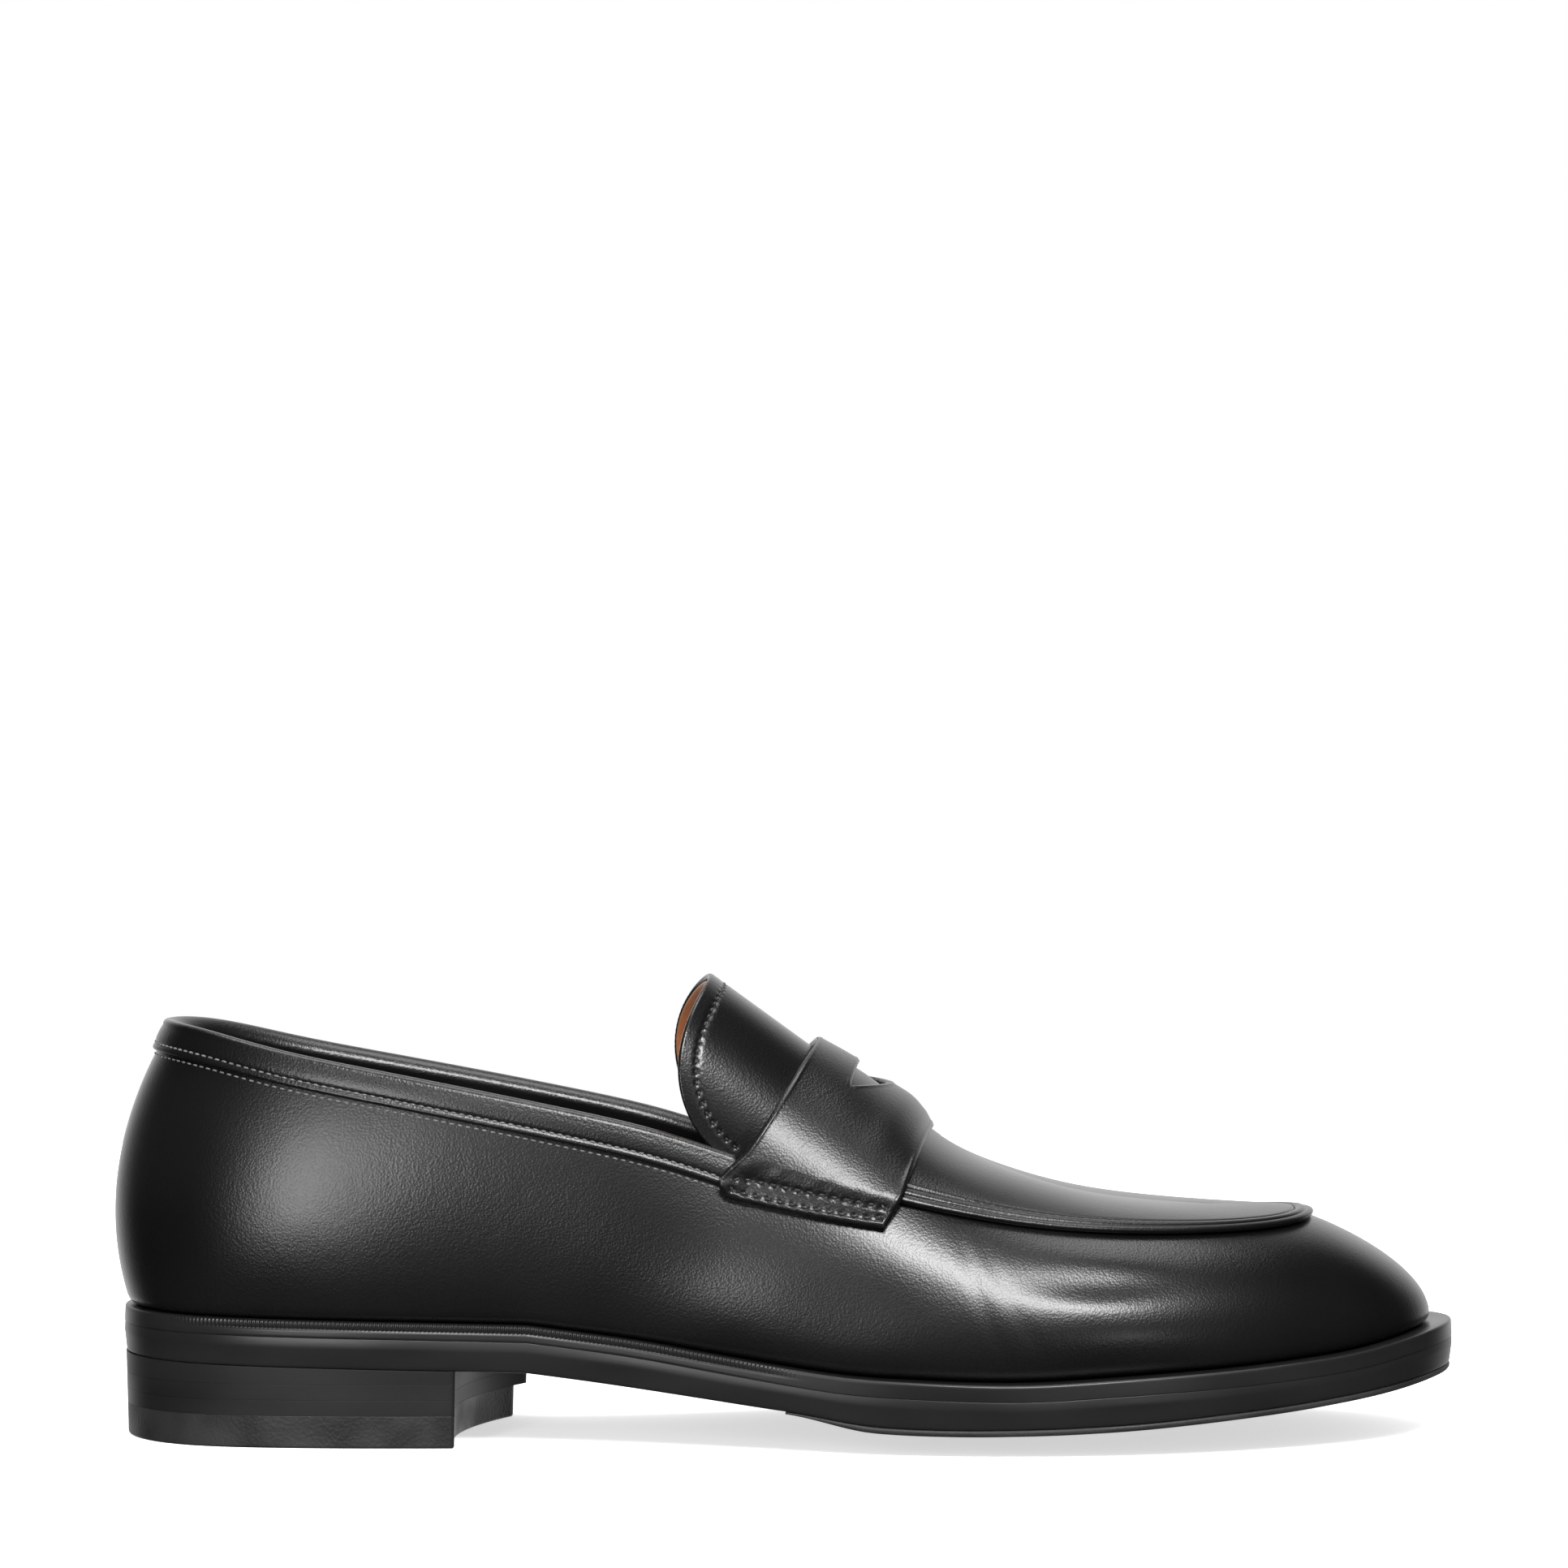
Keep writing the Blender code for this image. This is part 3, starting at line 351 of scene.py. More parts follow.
def gridFaces(rows, columns, first=0, wrap=False):
    # quads of a rows by columns grid; wrap joins the last row to the first
    row = np.arange(rows if wrap else rows - 1)[:, None]
    column = np.arange(columns - 1)[None, :]
    following = (row + 1) % rows
    a, b = row * columns + column, following * columns + column
    return np.stack([a, b, b + 1, a + 1], axis=-1).reshape(-1, 4) + first


def weldFaces(points, faces):
    # gives equal points one number and drops the corners, then the faces, that collapse
    keys = np.round(points * 1e7).astype(np.int64)
    first, inverse = np.unique(keys, axis=0, return_index=True, return_inverse=True)[1:]
    welded = inverse.reshape(-1)[faces]
    same = welded == np.roll(welded, -1, axis=1)
    whole = welded[~same.any(axis=1)]
    part = welded[same.sum(axis=1) == 1]
    keep = ~(part == np.roll(part, -1, axis=1))
    corners = part[keep].reshape(-1, 3)
    corners = corners[(corners[:, 0] != corners[:, 2])]
    opposite = (whole[:, 0] != whole[:, 2]) & (whole[:, 1] != whole[:, 3])
    return points[first], whole[opposite].tolist() + corners.tolist()


def closeSheets(sheets, wrap=False):
    # sheets of (outer, inner) grids: outer faces, inner faces turned over, and a wall on free edges
    outer = toFrame(np.concatenate([np.reshape(sheet[0], (-1, 3)) for sheet in sheets]))
    inner = toFrame(np.concatenate([np.reshape(sheet[1], (-1, 3)) for sheet in sheets]))
    faces, first = [], 0
    for sheet in sheets:
        rows, columns = sheet[0].shape[:2]
        faces.append(gridFaces(rows, columns, first, wrap))
        first += rows * columns
    faces = np.concatenate(faces)
    keys = np.round(outer * 1e7).astype(np.int64)
    inverse = np.unique(keys, axis=0, return_inverse=True)[1].reshape(-1)
    ring = np.stack([faces, np.roll(faces, -1, axis=1)], axis=-1).reshape(-1, 2)
    start, end = inverse[ring[:, 0]], inverse[ring[:, 1]]
    real = start != end
    ring, start, end = ring[real], start[real], end[real]
    size = len(outer) + 1
    free = ~np.isin(start * size + end, end * size + start)
    edge = ring[free]
    wall = np.stack([edge[:, 1], edge[:, 0], edge[:, 0] + len(outer), edge[:, 1] + len(outer)], axis=-1)
    everything = np.concatenate([faces, faces[:, ::-1] + len(outer), wall])
    return weldFaces(np.concatenate([outer, inner]), everything)


def addShell(name, sheets, finish, nodes, slot, wrap=False, body="shoe"):
    # a closed piece from sheets, standing for CAD nodes
    points, faces = closeSheets(sheets, wrap)
    return addPiece(name, points, faces, finish, body, nodes, slot)


def roundEdge(distance, reach, power=2.4):
    # share of full thickness at a distance from a cut edge: (1 - (1 - d/r)^p)^(1/p)
    d = np.clip(np.asarray(distance, float) / reach, 0.0, 1.0)
    return (1.0 - (1.0 - d) ** power) ** (1.0 / power)


def edgeSteps(reach, count):
    # distances crowded towards a cut edge: r (1 - cos)
    return reach * (1.0 - np.cos(np.linspace(0.0, 0.5 * np.pi, count)))


def groove(distance, place, width, depth):
    # a soft channel: depth exp(-((d - place) / width)^2)
    offset = (np.asarray(distance, float) - place) / width
    return depth * np.exp(-offset * offset)


def toBoundary(points, boundary):
    # shortest distance from each point to a run of boundary points
    flat = points.reshape(-1, points.shape[-1])
    nearest = np.full(len(flat), 1e9)
    for block in np.array_split(boundary, max(1, len(boundary) // 200)):
        gap = np.linalg.norm(flat[:, None] - block[None], axis=2).min(axis=1)
        nearest = np.minimum(nearest, gap)
    return nearest.reshape(points.shape[:-1])


def evenStations(first, end, spacing):
    # stations about a spacing (mm) apart along the feather edge
    trial = np.linspace(first, end, 1200)
    length = walked(featherLoop(trial))
    count = max(2, int(round(length[-1] / spacing)) + 1)
    return np.interp(np.linspace(0.0, length[-1], count), length, trial)


def mirroredStations(first, spacing):
    # even stations from first to the toe, and the same ones back along the other side
    half = evenStations(first, toeStation, spacing)
    return np.concatenate([half, fullTurn - half[-2::-1]])


def closedRing(half):
    # stations of the outer side, then the same ones back along the inner side, without a repeat
    return np.concatenate([half, fullTurn - half[-2:0:-1]])


def ringStations(spacing):
    # even stations all the way round
    return closedRing(evenStations(0.0, toeStation, spacing))


stitch = {
    "sink": 0.04,        # how far a stitch beds into the leather
    "tip": 0.02,         # angle left open at its ends
    "fullness": 0.6,     # lower is blunter
    "sides": 6,
    "rings": 7,
    "hem": 0.2,          # a path's direction is read this far to each side
}


def alongPath(points, normals, pitch):
    # places a pitch (mm, hole to hole) apart on a path, with their directions and normals
    length = walked(points)
    count = max(1, int(length[-1] / pitch))
    place = (np.arange(count) + 0.5) * length[-1] / count
    read = lambda data, at: np.stack([np.interp(at, length, data[:, k]) for k in range(3)], axis=-1)
    centre = read(points, place)
    ahead = read(points, place + stitch["hem"]) - read(points, place - stitch["hem"])
    ahead /= np.maximum(np.linalg.norm(ahead, axis=1, keepdims=True), 1e-9)
    normal = read(normals, place)
    normal -= (normal * ahead).sum(axis=1, keepdims=True) * ahead
    normal /= np.linalg.norm(normal, axis=1, keepdims=True)
    return centre, ahead, normal


def stitchMesh(runs, pitch, length, radius, across=False):
    # every stitch is a bent capsule: a ring at angle a stands cos(a) along, as wide as a power of
    # sin(a), arched by sin(a)
    rings, sides = stitch["rings"], stitch["sides"]
    angle = np.linspace(stitch["tip"], np.pi - stitch["tip"], rings)
    turn = np.arange(sides) * 2.0 * np.pi / sides
    along = -0.5 * length * np.cos(angle)
    girth = radius * np.sin(angle) ** stitch["fullness"]
    arch = (radius - stitch["sink"]) * np.sin(angle) - 0.5 * radius
    shape = np.stack([np.broadcast_to(along[:, None], (rings, sides)),
                      girth[:, None] * np.cos(turn),
                      girth[:, None] * np.sin(turn) + arch[:, None]], axis=-1)
    faces = gridFaces(sides, rings, wrap=True)
    index = faces % rings * sides + faces // rings
    ends = np.stack([np.arange(sides), rings * sides - 1 - np.arange(sides)])
    allPoints, allQuads, allEnds, shift = [], [], [], 0
    for points, normals in runs:
        centre, ahead, normal = alongPath(points, normals, pitch)
        side = np.cross(normal, ahead)
        if across:
            ahead, side = side, -ahead
        basis = np.stack([ahead, side, normal], axis=1)
        placed = centre[:, None, None, :] + np.einsum("rsk,nkj->nrsj", shape, basis)
        count = len(centre)
        offset = np.arange(count)[:, None, None] * rings * sides + shift
        allPoints.append(placed.reshape(-1, 3))
        allQuads.append((index[None] + offset).reshape(-1, 4))
        allEnds.append((ends[None] + offset).reshape(-1, sides))
        shift += count * rings * sides
    faces = np.concatenate(allQuads)[:, ::-1].tolist() + np.concatenate(allEnds)[:, ::-1].tolist()
    return toFrame(np.concatenate(allPoints)), faces


def stitchCentres(runs, pitch):
    # the middle of every stitch
    return np.concatenate([alongPath(points, normals, pitch)[0] for points, normals in runs])


def pressed(points, centres, width, depth):
    # each stitch draws the leather down round it: depth exp(-(distance / width)^2)
    distance = toBoundary(points, centres)
    return depth * np.exp(-(distance / width) ** 2)


def stitchPiece(name, runs, thread, body, **size):
    # rows of stitches as one piece
    points, faces = stitchMesh(runs, **size)
    return addPiece(name, points, faces, thread, body)


stitchSeat = 0.02    # a row of stitches stands this far off the leather


def surfaceRun(point, s, w, depth):
    # a stitch path on the leather: its points and the surface normals there
    return point(s, w, depth), lastNormal(s, w)


def newFinish(name, colour, roughness, **sockets):
    # one shader; a socket's name is written with _ for each space
    finish = bpy.data.materials.new(name)
    finish.use_nodes = True
    shader = finish.node_tree.nodes["Principled BSDF"]
    shader.inputs["Base Color"].default_value = (*colour, 1.0)
    shader.inputs["Roughness"].default_value = roughness
    for socket, value in sockets.items():
        shader.inputs[socket.replace("_", " ")].default_value = value
    return finish


def addNode(finish, kind, links=(), **values):
    # a node with its settings; links are (input, output socket) pairs
    node = finish.node_tree.nodes.new(kind)
    for key, value in values.items():
        if key in node.inputs:
            node.inputs[key].default_value = value
        else:
            setattr(node, key, value)
    for key, socket in links:
        finish.node_tree.links.new(socket, node.inputs[key])
    return node


def mottle(finish, colours, scale, detail=4.0, stretch=(1.0, 1.0, 1.0), positions=(0.35, 0.65)):
    # cloudy shift between two colours over the piece
    place = addNode(finish, "ShaderNodeTexCoord")
    mapping = addNode(finish, "ShaderNodeMapping", [("Vector", place.outputs["Object"])], Scale=stretch)
    cloud = addNode(finish, "ShaderNodeTexNoise", [("Vector", mapping.outputs["Vector"])],
                    Scale=scale, Detail=detail, Roughness=0.6)
    ramp = addNode(finish, "ShaderNodeValToRGB", [("Fac", cloud.outputs["Fac"])])
    for stop, position, colour in zip(ramp.color_ramp.elements, positions, colours):
        stop.position = position
        stop.color = (*colour, 1.0)
    shader = finish.node_tree.nodes["Principled BSDF"]
    finish.node_tree.links.new(ramp.outputs["Color"], shader.inputs["Base Color"])
    return mapping.outputs["Vector"], cloud.outputs["Fac"]


def varyRoughness(finish, factor, low, high):
    # a pattern's middle range spread over low to high roughness
    spread = addNode(finish, "ShaderNodeMapRange", [("Value", factor)],
                     **{"From Min": 0.3, "From Max": 0.7, "To Min": low, "To Max": high})
    shader = finish.node_tree.nodes["Principled BSDF"]
    finish.node_tree.links.new(spread.outputs["Result"], shader.inputs["Roughness"])


def addRelief(finish, layers):
    # bumps stacked one on another: (height socket, distance in metres, strength)
    shader = finish.node_tree.nodes["Principled BSDF"]
    normal = None
    for height, distance, strength in layers:
        links = [("Height", height)] + ([("Normal", normal)] if normal else [])
        bump = addNode(finish, "ShaderNodeBump", links, Strength=strength, Distance=distance)
        normal = bump.outputs["Normal"]
    finish.node_tree.links.new(normal, shader.inputs["Normal"])


def leatherGrain(finish, vector, pore, wrinkle):
    # pebbled grain cells, finer hair pores, and a broad unevenness
    cells = addNode(finish, "ShaderNodeTexVoronoi", [("Vector", vector)], feature="SMOOTH_F1",
                    Scale=1.0 / pore, Smoothness=0.6, Randomness=1.0)
    fine = addNode(finish, "ShaderNodeTexNoise", [("Vector", vector)], Scale=2.2 / pore, Detail=3.0)
    broad = addNode(finish, "ShaderNodeTexNoise", [("Vector", vector)], Scale=1.0 / wrinkle, Detail=2.0)
    return cells.outputs["Distance"], fine.outputs["Fac"], broad.outputs["Fac"]


calf = {
    "black": (0.0018, 0.0018, 0.0020),
    "worn": (0.0038, 0.0037, 0.0037),
    "gloss": 0.31,             # lower is shinier
    "pore": 0.00052,           # grain size in metres
    "grainDepth": 0.000055,
    "polish": 0.12,            # share of clear wax coat
    "coatRoughness": 0.22,
    "shine": 0.38,             # specular level
    "cloudScale": 30.0,        # worn patches, per metre
    "wrinkle": 0.011,          # width of the broad unevenness
    "wrinkleDepth": 0.00025,
}


def polishedCalf(name, gloss=None, grainDepth=None):
    # black calf under a thin wax coat, a little unevenly polished
    gloss = gloss or calf["gloss"]
    finish = newFinish(name, calf["black"], gloss, Coat_Weight=calf["polish"],
                       Coat_Roughness=calf["coatRoughness"], Specular_IOR_Level=calf["shine"])
    vector, cloud = mottle(finish, (calf["black"], calf["worn"]), calf["cloudScale"], detail=0.6,
                           positions=(0.2, 0.8))
    varyRoughness(finish, cloud, gloss - 0.02, gloss + 0.03)
    cells, fine, broad = leatherGrain(finish, vector, calf["pore"], calf["wrinkle"])
    depth = grainDepth or calf["grainDepth"]
    addRelief(finish, [(broad, calf["wrinkleDepth"], 0.25), (cells, depth, 0.65),
                       (fine, 0.5 * depth, 0.6)])
    return finish


lining = {
    "cloudScale": 55.0,
    "pore": 0.0006,
    "wrinkle": 0.006,
    "sheen": 0.12,
}


def liningLeather(name, colours, roughness):
    # soft unpolished leather with a light nap
    finish = newFinish(name, colours[0], roughness, Sheen_Weight=lining["sheen"],
                       Sheen_Roughness=0.5)
    vector, cloud = mottle(finish, colours, lining["cloudScale"])
    varyRoughness(finish, cloud, roughness - 0.07, roughness + 0.10)
    cells, fine, broad = leatherGrain(finish, vector, lining["pore"], lining["wrinkle"])
    addRelief(finish, [(broad, 0.0002, 0.4), (cells, 0.00005, 0.5), (fine, 0.00003, 0.6)])
    return finish


edgeWax = {
    "plain": (0.006, 0.006, 0.006),      # where no pattern is shown
    "colours": ((0.0050, 0.0050, 0.0051), (0.0075, 0.0073, 0.0072)),
    "shine": 0.38,
    "cloudScale": 30.0,
    "lineScale": 240.0,
}
rubber = {
    "plain": (0.010, 0.010, 0.010),
    "colours": ((0.0085, 0.0085, 0.0085), (0.0125, 0.0125, 0.0120)),
    "cloudScale": 90.0,
    "stippleScale": 1300.0,
}


def waxedEdge(name, roughness=0.36):
    # burnished sole edge: hard wax over leather, faint lines along the shoe
    finish = newFinish(name, edgeWax["plain"], roughness, Specular_IOR_Level=edgeWax["shine"])
    vector, cloud = mottle(finish, edgeWax["colours"], edgeWax["cloudScale"], detail=1.0,
                           stretch=(1.0, 1.0, 4.0), positions=(0.2, 0.8))
    varyRoughness(finish, cloud, roughness - 0.03, roughness + 0.05)
    lines = addNode(finish, "ShaderNodeTexNoise", [("Vector", vector)], Scale=edgeWax["lineScale"],
                    Detail=2.0)
    addRelief(finish, [(lines.outputs["Fac"], 0.00002, 0.35)])
    return finish


def treadRubber(name, roughness=0.60):
    # moulded rubber with a fine stipple
    finish = newFinish(name, rubber["plain"], roughness)
    vector, cloud = mottle(finish, rubber["colours"], rubber["cloudScale"], detail=1.0)
    varyRoughness(finish, cloud, roughness - 0.08, roughness + 0.10)
    stipple = addNode(finish, "ShaderNodeTexVoronoi", [("Vector", vector)],
                      Scale=rubber["stippleScale"])
    addRelief(finish, [(stipple.outputs["Distance"], 0.00008, 0.6), (cloud, 0.0001, 0.3)])
    return finish


def waxedThread(name, colour):
    # two-ply twist: a slanting band pattern along the thread
    finish = newFinish(name, colour, 0.45, Sheen_Weight=0.2, Sheen_Roughness=0.4)
    darker = tuple(0.55 * c for c in colour)
    vector = mottle(finish, (darker, colour), 900.0)[0]
    twist = addNode(finish, "ShaderNodeTexWave", [("Vector", vector)], bands_direction="DIAGONAL",
                    Scale=900.0, Distortion=1.5)
    addRelief(finish, [(twist.outputs["Fac"], 0.00006, 0.7)])
    return finish


def granular(name, colours, roughness, size, depth, **sockets):
    # cork, board and foam: crumbs of one size with pores between
    finish = newFinish(name, colours[0], roughness, **sockets)
    vector, cloud = mottle(finish, colours, 0.6 / size, positions=(0.3, 0.7))
    varyRoughness(finish, cloud, roughness - 0.08, min(1.0, roughness + 0.06))
    crumbs = addNode(finish, "ShaderNodeTexVoronoi", [("Vector", vector)], Scale=1.0 / size)
    addRelief(finish, [(crumbs.outputs["Distance"], depth, 0.8)])
    return finish


def brushedMetal(name, colours, roughness):
    # metal with fine marks drawn out along its length
    finish = newFinish(name, colours[0], roughness, Metallic=1.0)
    cloud = mottle(finish, colours, 300.0, stretch=(0.08, 1.0, 1.0))[1]
    varyRoughness(finish, cloud, roughness - 0.08, roughness + 0.14)
    addRelief(finish, [(cloud, 0.00003, 0.4)])
    return finish


wallCalf = polishedCalf("wallCalf")
apronCalf = polishedCalf("apronCalf", gloss=0.33)
strapCalf = polishedCalf("strapCalf", gloss=0.34, grainDepth=0.00008)
collarCalf = polishedCalf("collarCalf", gloss=0.33, grainDepth=0.00008)
tongueCalf = polishedCalf("tongueCalf", gloss=0.31)
tanLining = liningLeather("tanLining", ((0.22, 0.070, 0.022), (0.34, 0.125, 0.042)), 0.50)
darkLining = liningLeather("darkLining", ((0.016, 0.012, 0.010), (0.034, 0.025, 0.019)), 0.58)
sockLeather = liningLeather("sockLeather", ((0.020, 0.016, 0.014), (0.042, 0.032, 0.026)), 0.52)
soleEdge = waxedEdge("soleEdge")
weltWax = waxedEdge("weltWax", 0.33)
liftWax = waxedEdge("liftWax", 0.44)
halfSoleRubber = treadRubber("halfSoleRubber")
heelRubber = treadRubber("heelRubber", 0.46)
blackThread = waxedThread("blackThread", (0.009, 0.009, 0.009))
collarThread = waxedThread("collarThread", (0.115, 0.110, 0.105))
# darker and lighter colour, roughness, crumb size and depth in metres
stiffBoard = granular("stiffBoard", ((0.42, 0.31, 0.19), (0.60, 0.47, 0.32)), 0.82, 0.0009, 0.0001)
insoleLeather = granular("insoleLeather", ((0.45, 0.29, 0.16), (0.62, 0.43, 0.26)), 0.74, 0.0012,
                         0.0001)
corkSheet = granular("corkSheet", ((0.30, 0.16, 0.07), (0.55, 0.35, 0.18)), 0.90, 0.0022, 0.0004)
heelFoam = granular("heelFoam", ((0.70, 0.65, 0.52), (0.84, 0.80, 0.68)), 0.92, 0.0007, 0.0002)
shankSteel = brushedMetal("shankSteel", ((0.45, 0.46, 0.48), (0.62, 0.63, 0.65)), 0.34)
pinBrass = brushedMetal("pinBrass", ((0.66, 0.44, 0.17), (0.84, 0.63, 0.30)), 0.32)
print("finishes ready")


wall = {
    "spacing": 1.3,
    "rows": 34,
    "tuck": 1.3,            # how far the leather draws in where it meets the welt
    "tuckHeight": 2.2,
    "collarCover": 1.9,     # wall ends this far below the top line, inside the collar
    "tuckRises": (0.05, 0.25, 0.6, 1.2, 2.2, 3.2),   # rows close above the welt
    "underApron": 1.10,     # height w of its hidden edge
    "lastingMargin": 10.0,
    "seamWidth": 0.9,       # half width of the back seam's dip
    "seamDepth": 0.35,
    "seamRows": (0.025, 0.05, 0.075),   # extra stations beside it
    "seamFoot": 10.0,       # its stitches start this far above the feather edge
    "seamTop": 7.6,         # and end this far below the top line
    "stationWidth": 12.0,   # one station at the back of the heel
    "stitches": {"pitch": 1.65, "length": 2.0, "radius": 0.30},
}


def wallSurface(s, w, depth):
    # the wall's face with its flex folds and the dip of the back seam
    s, w, depth = together(s, w, depth)
    fromSeam = np.abs(np.mod(s + toeStation, fullTurn) - toeStation) * wall["stationWidth"]
    seam = groove(fromSeam, 0.0, wall["seamWidth"], wall["seamDepth"])
    return layerPoint(s, w, depth + creaseDepth(s, w) + seam)


def wallTop(s):
    # upper edge: under the collar band at the back, under the apron from the throat on
    underCollar = belowTop(s, wall["collarCover"])
    ease = smoothStep(last["throatStation"] - 0.1, last["throatStation"] + 0.9, foldStation(s))
    return underCollar + (wall["underApron"] - underCollar) * ease


def makeWall():
    # climbing rows round the last, tucked in at the feather edge, turned in below as a lasting margin
    half = evenStations(0.0, toeStation, wall["spacing"])
    s = closedRing(np.sort(np.concatenate([half, wall["seamRows"]])))
    low = np.stack([aboveFeather(s, rise) for rise in wall["tuckRises"]], axis=1)
    climb = np.linspace(0.0, 1.0, wall["rows"])[1:] ** 0.94
    high = low[:, -1:] + (wallTop(s)[:, None] - low[:, -1:]) * climb
    w = np.concatenate([low, high], axis=1)
    rise = np.concatenate([wall["tuckRises"], np.full(len(climb), farAway)])
    tuck = wall["tuck"] * (1.0 - roundEdge(rise, wall["tuckHeight"], 2.0))
    outer = wallSurface(s[:, None], w, tuck)
    inner = wallSurface(s[:, None], w, np.maximum(tuck, 0.0) + last["upperThickness"])
    base, out = featherLoop(s)[:, None], outward(s)[:, None]
    margins = np.array([wall["lastingMargin"], 5.0, 2.4, wall["tuck"] + 0.1])[None, :, None]
    under = onSeat(base - out * margins)
    above = onSeat(base - out * np.maximum(margins, wall["tuck"] + last["upperThickness"] + 0.2))
    above = above + upward * last["upperThickness"]
    sheet = (np.concatenate([under, outer], axis=1), np.concatenate([above, inner], axis=1))
    addShell("wallLeather", [sheet], wallCalf, ["upper_wall"], "wall_calf", wrap=True)
    # cross stitches of the back seam
    seam = np.zeros(60)
    foot, top = aboveFeather(seam[:1], wall["seamFoot"])[0], belowTop(seam[:1], wall["seamTop"])[0]
    run = surfaceRun(wallSurface, seam, np.linspace(foot, top, len(seam)), -stitchSeat)
    stitchPiece("backSeamStitches", [run], blackThread, "shoe", **wall["stitches"], across=True)


collar = {
    "height": 8.0,
    "thickness": 0.9,
    "end": 8.06,            # station of its cut end, under the strap
    "spacing": 1.0,
    "rollHeight": 2.3,
    "edgeRound": 0.8,
    "rows": (1.1, 1.35, 1.6, 1.85, 2.2, 2.8, 3.5, 4.3, 5.1),   # up from its lower edge
    "padding": 0.35,
    "paddingFrom": 1.2,
    "innerGap": 0.15,       # between the lining and its inner leg
    "rowAbove": 1.6,        # stitch row on the band, up from its edge
    "rowWidth": 0.35,
    "rowDepth": 0.28,
    "rowBelow": 0.8,        # stitch row on the quarter, down from the edge
    "bandStitches": {"pitch": 1.85, "length": 1.2, "radius": 0.22},
    "quarterStitches": {"pitch": 1.85, "length": 1.15, "radius": 0.20},
}


def collarLeg(s, drops, depth):
    # rows at distances down from the top line
    w = np.stack([belowTop(s, drop) for drop in drops], axis=1)
    return layerPoint(s[:, None], w, depth)


def makeCollar():
    # outer leg up the quarter, half ellipse over the top line, inner leg down the lining
    s = evenStations(-collar["end"], collar["end"], collar["spacing"])
    s = -collar["end"] + 2 * collar["end"] * (s - s[0]) / (s[-1] - s[0])
    height, thick, roll = collar["height"], collar["thickness"], collar["rollHeight"]
    innerFace = (last["upperThickness"] + last["layerGap"] + last["liningThickness"]
                 + collar["innerGap"])
    fromEdge = np.concatenate([edgeSteps(collar["edgeRound"], 6), collar["rows"], [height - roll]])
    drops, turned = height - fromEdge, slice(None, None, -1)
    above = (fromEdge - collar["paddingFrom"]) / (height - collar["paddingFrom"])
    swell = collar["padding"] * np.sin(np.pi * np.clip(above, 0.0, 1.0)) \
        - groove(fromEdge, collar["rowAbove"], collar["rowWidth"], collar["rowDepth"])
    full = roundEdge(fromEdge, collar["edgeRound"])
    middle = last["layerGap"] * 0.5 + 0.5 * thick
    outer = collarLeg(s, drops, -(middle + (0.5 * thick + 0.5 * last["layerGap"]) * full + swell)[None])
    back = collarLeg(s, drops, -(middle - 0.5 * thick * full)[None])
    innerDepth = innerFace + thick * full + 0.5 * np.maximum(swell, 0.0)
    innerOuter = collarLeg(s, drops[turned], innerDepth[turned][None])
    innerBack = collarLeg(s, drops[turned], innerFace)
    turn = np.linspace(0.0, np.pi, 13)[1:-1]

    def overTop(near, far, rise):
        share = 0.5 - 0.5 * np.cos(turn)[None, :, None]
        return near + (far - near) * share + upward * rise * np.sin(turn)[None, :, None]

    skin = np.concatenate([outer, overTop(outer[:, -1:], innerOuter[:, :1], roll), innerOuter], axis=1)
    inside = np.concatenate([back, overTop(back[:, -1:], innerBack[:, :1], roll - thick), innerBack],
                            axis=1)
    # both cut ends close over the last millimetre
    walk = walked(featherLoop(s))
    shut = 0.5 * (1.0 - roundEdge(np.minimum(walk, walk[-1] - walk), 1.0))[:, None, None]
    skin, inside = skin + (inside - skin) * shut, inside + (skin - inside) * shut
    addShell("collarBinding", [(skin, inside)], collarCalf, ["collar_band"], "collar_calf")
    line = np.linspace(-collar["end"] + 0.05, collar["end"] - 0.05, 900)
    onBand = surfaceRun(layerPoint, line, belowTop(line, height - collar["rowAbove"]),
                        -(middle + 0.5 * thick + 0.1 - stitchSeat))
    onQuarter = surfaceRun(wallSurface, line, belowTop(line, height + collar["rowBelow"]), -stitchSeat)
    stitchPiece("collarStitches", [onBand], collarThread, "shoe", **collar["bandStitches"])
    stitchPiece("quarterStitches", [onQuarter], collarThread, "shoe", **collar["quarterStitches"])


apronShape = {
    "start": 8.62,          # hidden under the strap
    "thickness": 1.6,
    "spacing": 0.9,
    "edgeRound": 0.9,
    "rows": (1.15, 1.3, 1.42, 1.5, 1.58, 1.7, 1.9, 2.3, 2.8, 3.2, 3.5, 3.75, 4.0, 4.25, 4.5,
             4.8, 5.4, 6.2, 7.2),   # in from the cut edge
    "creaseIn": 1.5,        # fine creased line, in from the cut edge
    "creaseWidth": 0.22,
    "creaseDepth": 0.22,
    "rimIn": 2.6,           # raised rim between the creased line and the channel
    "rimHeight": 0.35,
    "stitchIn": 4.0,        # stitched channel
    "channelWidth": 0.42,
    "channelDepth": 0.42,
    "stitchFrom": 9.6,      # station where the stitches come out from under the strap
    "stitches": {"pitch": 2.1, "length": 1.7, "radius": 0.21},
}


apronEdge = 1.0001    # height w just past the top of the wall, where the arch begins


def archInset(s, distance):
    # height w at a distance in from the apron's edge, over the arch
    trial = np.linspace(1.0, 2.0, 81)
    path = lastPoint(s[:, None], np.clip(trial, apronEdge, 2.0)[None, :])
    return rowInterp(np.broadcast_to(distance, s.shape).astype(float), walked(path), trial)


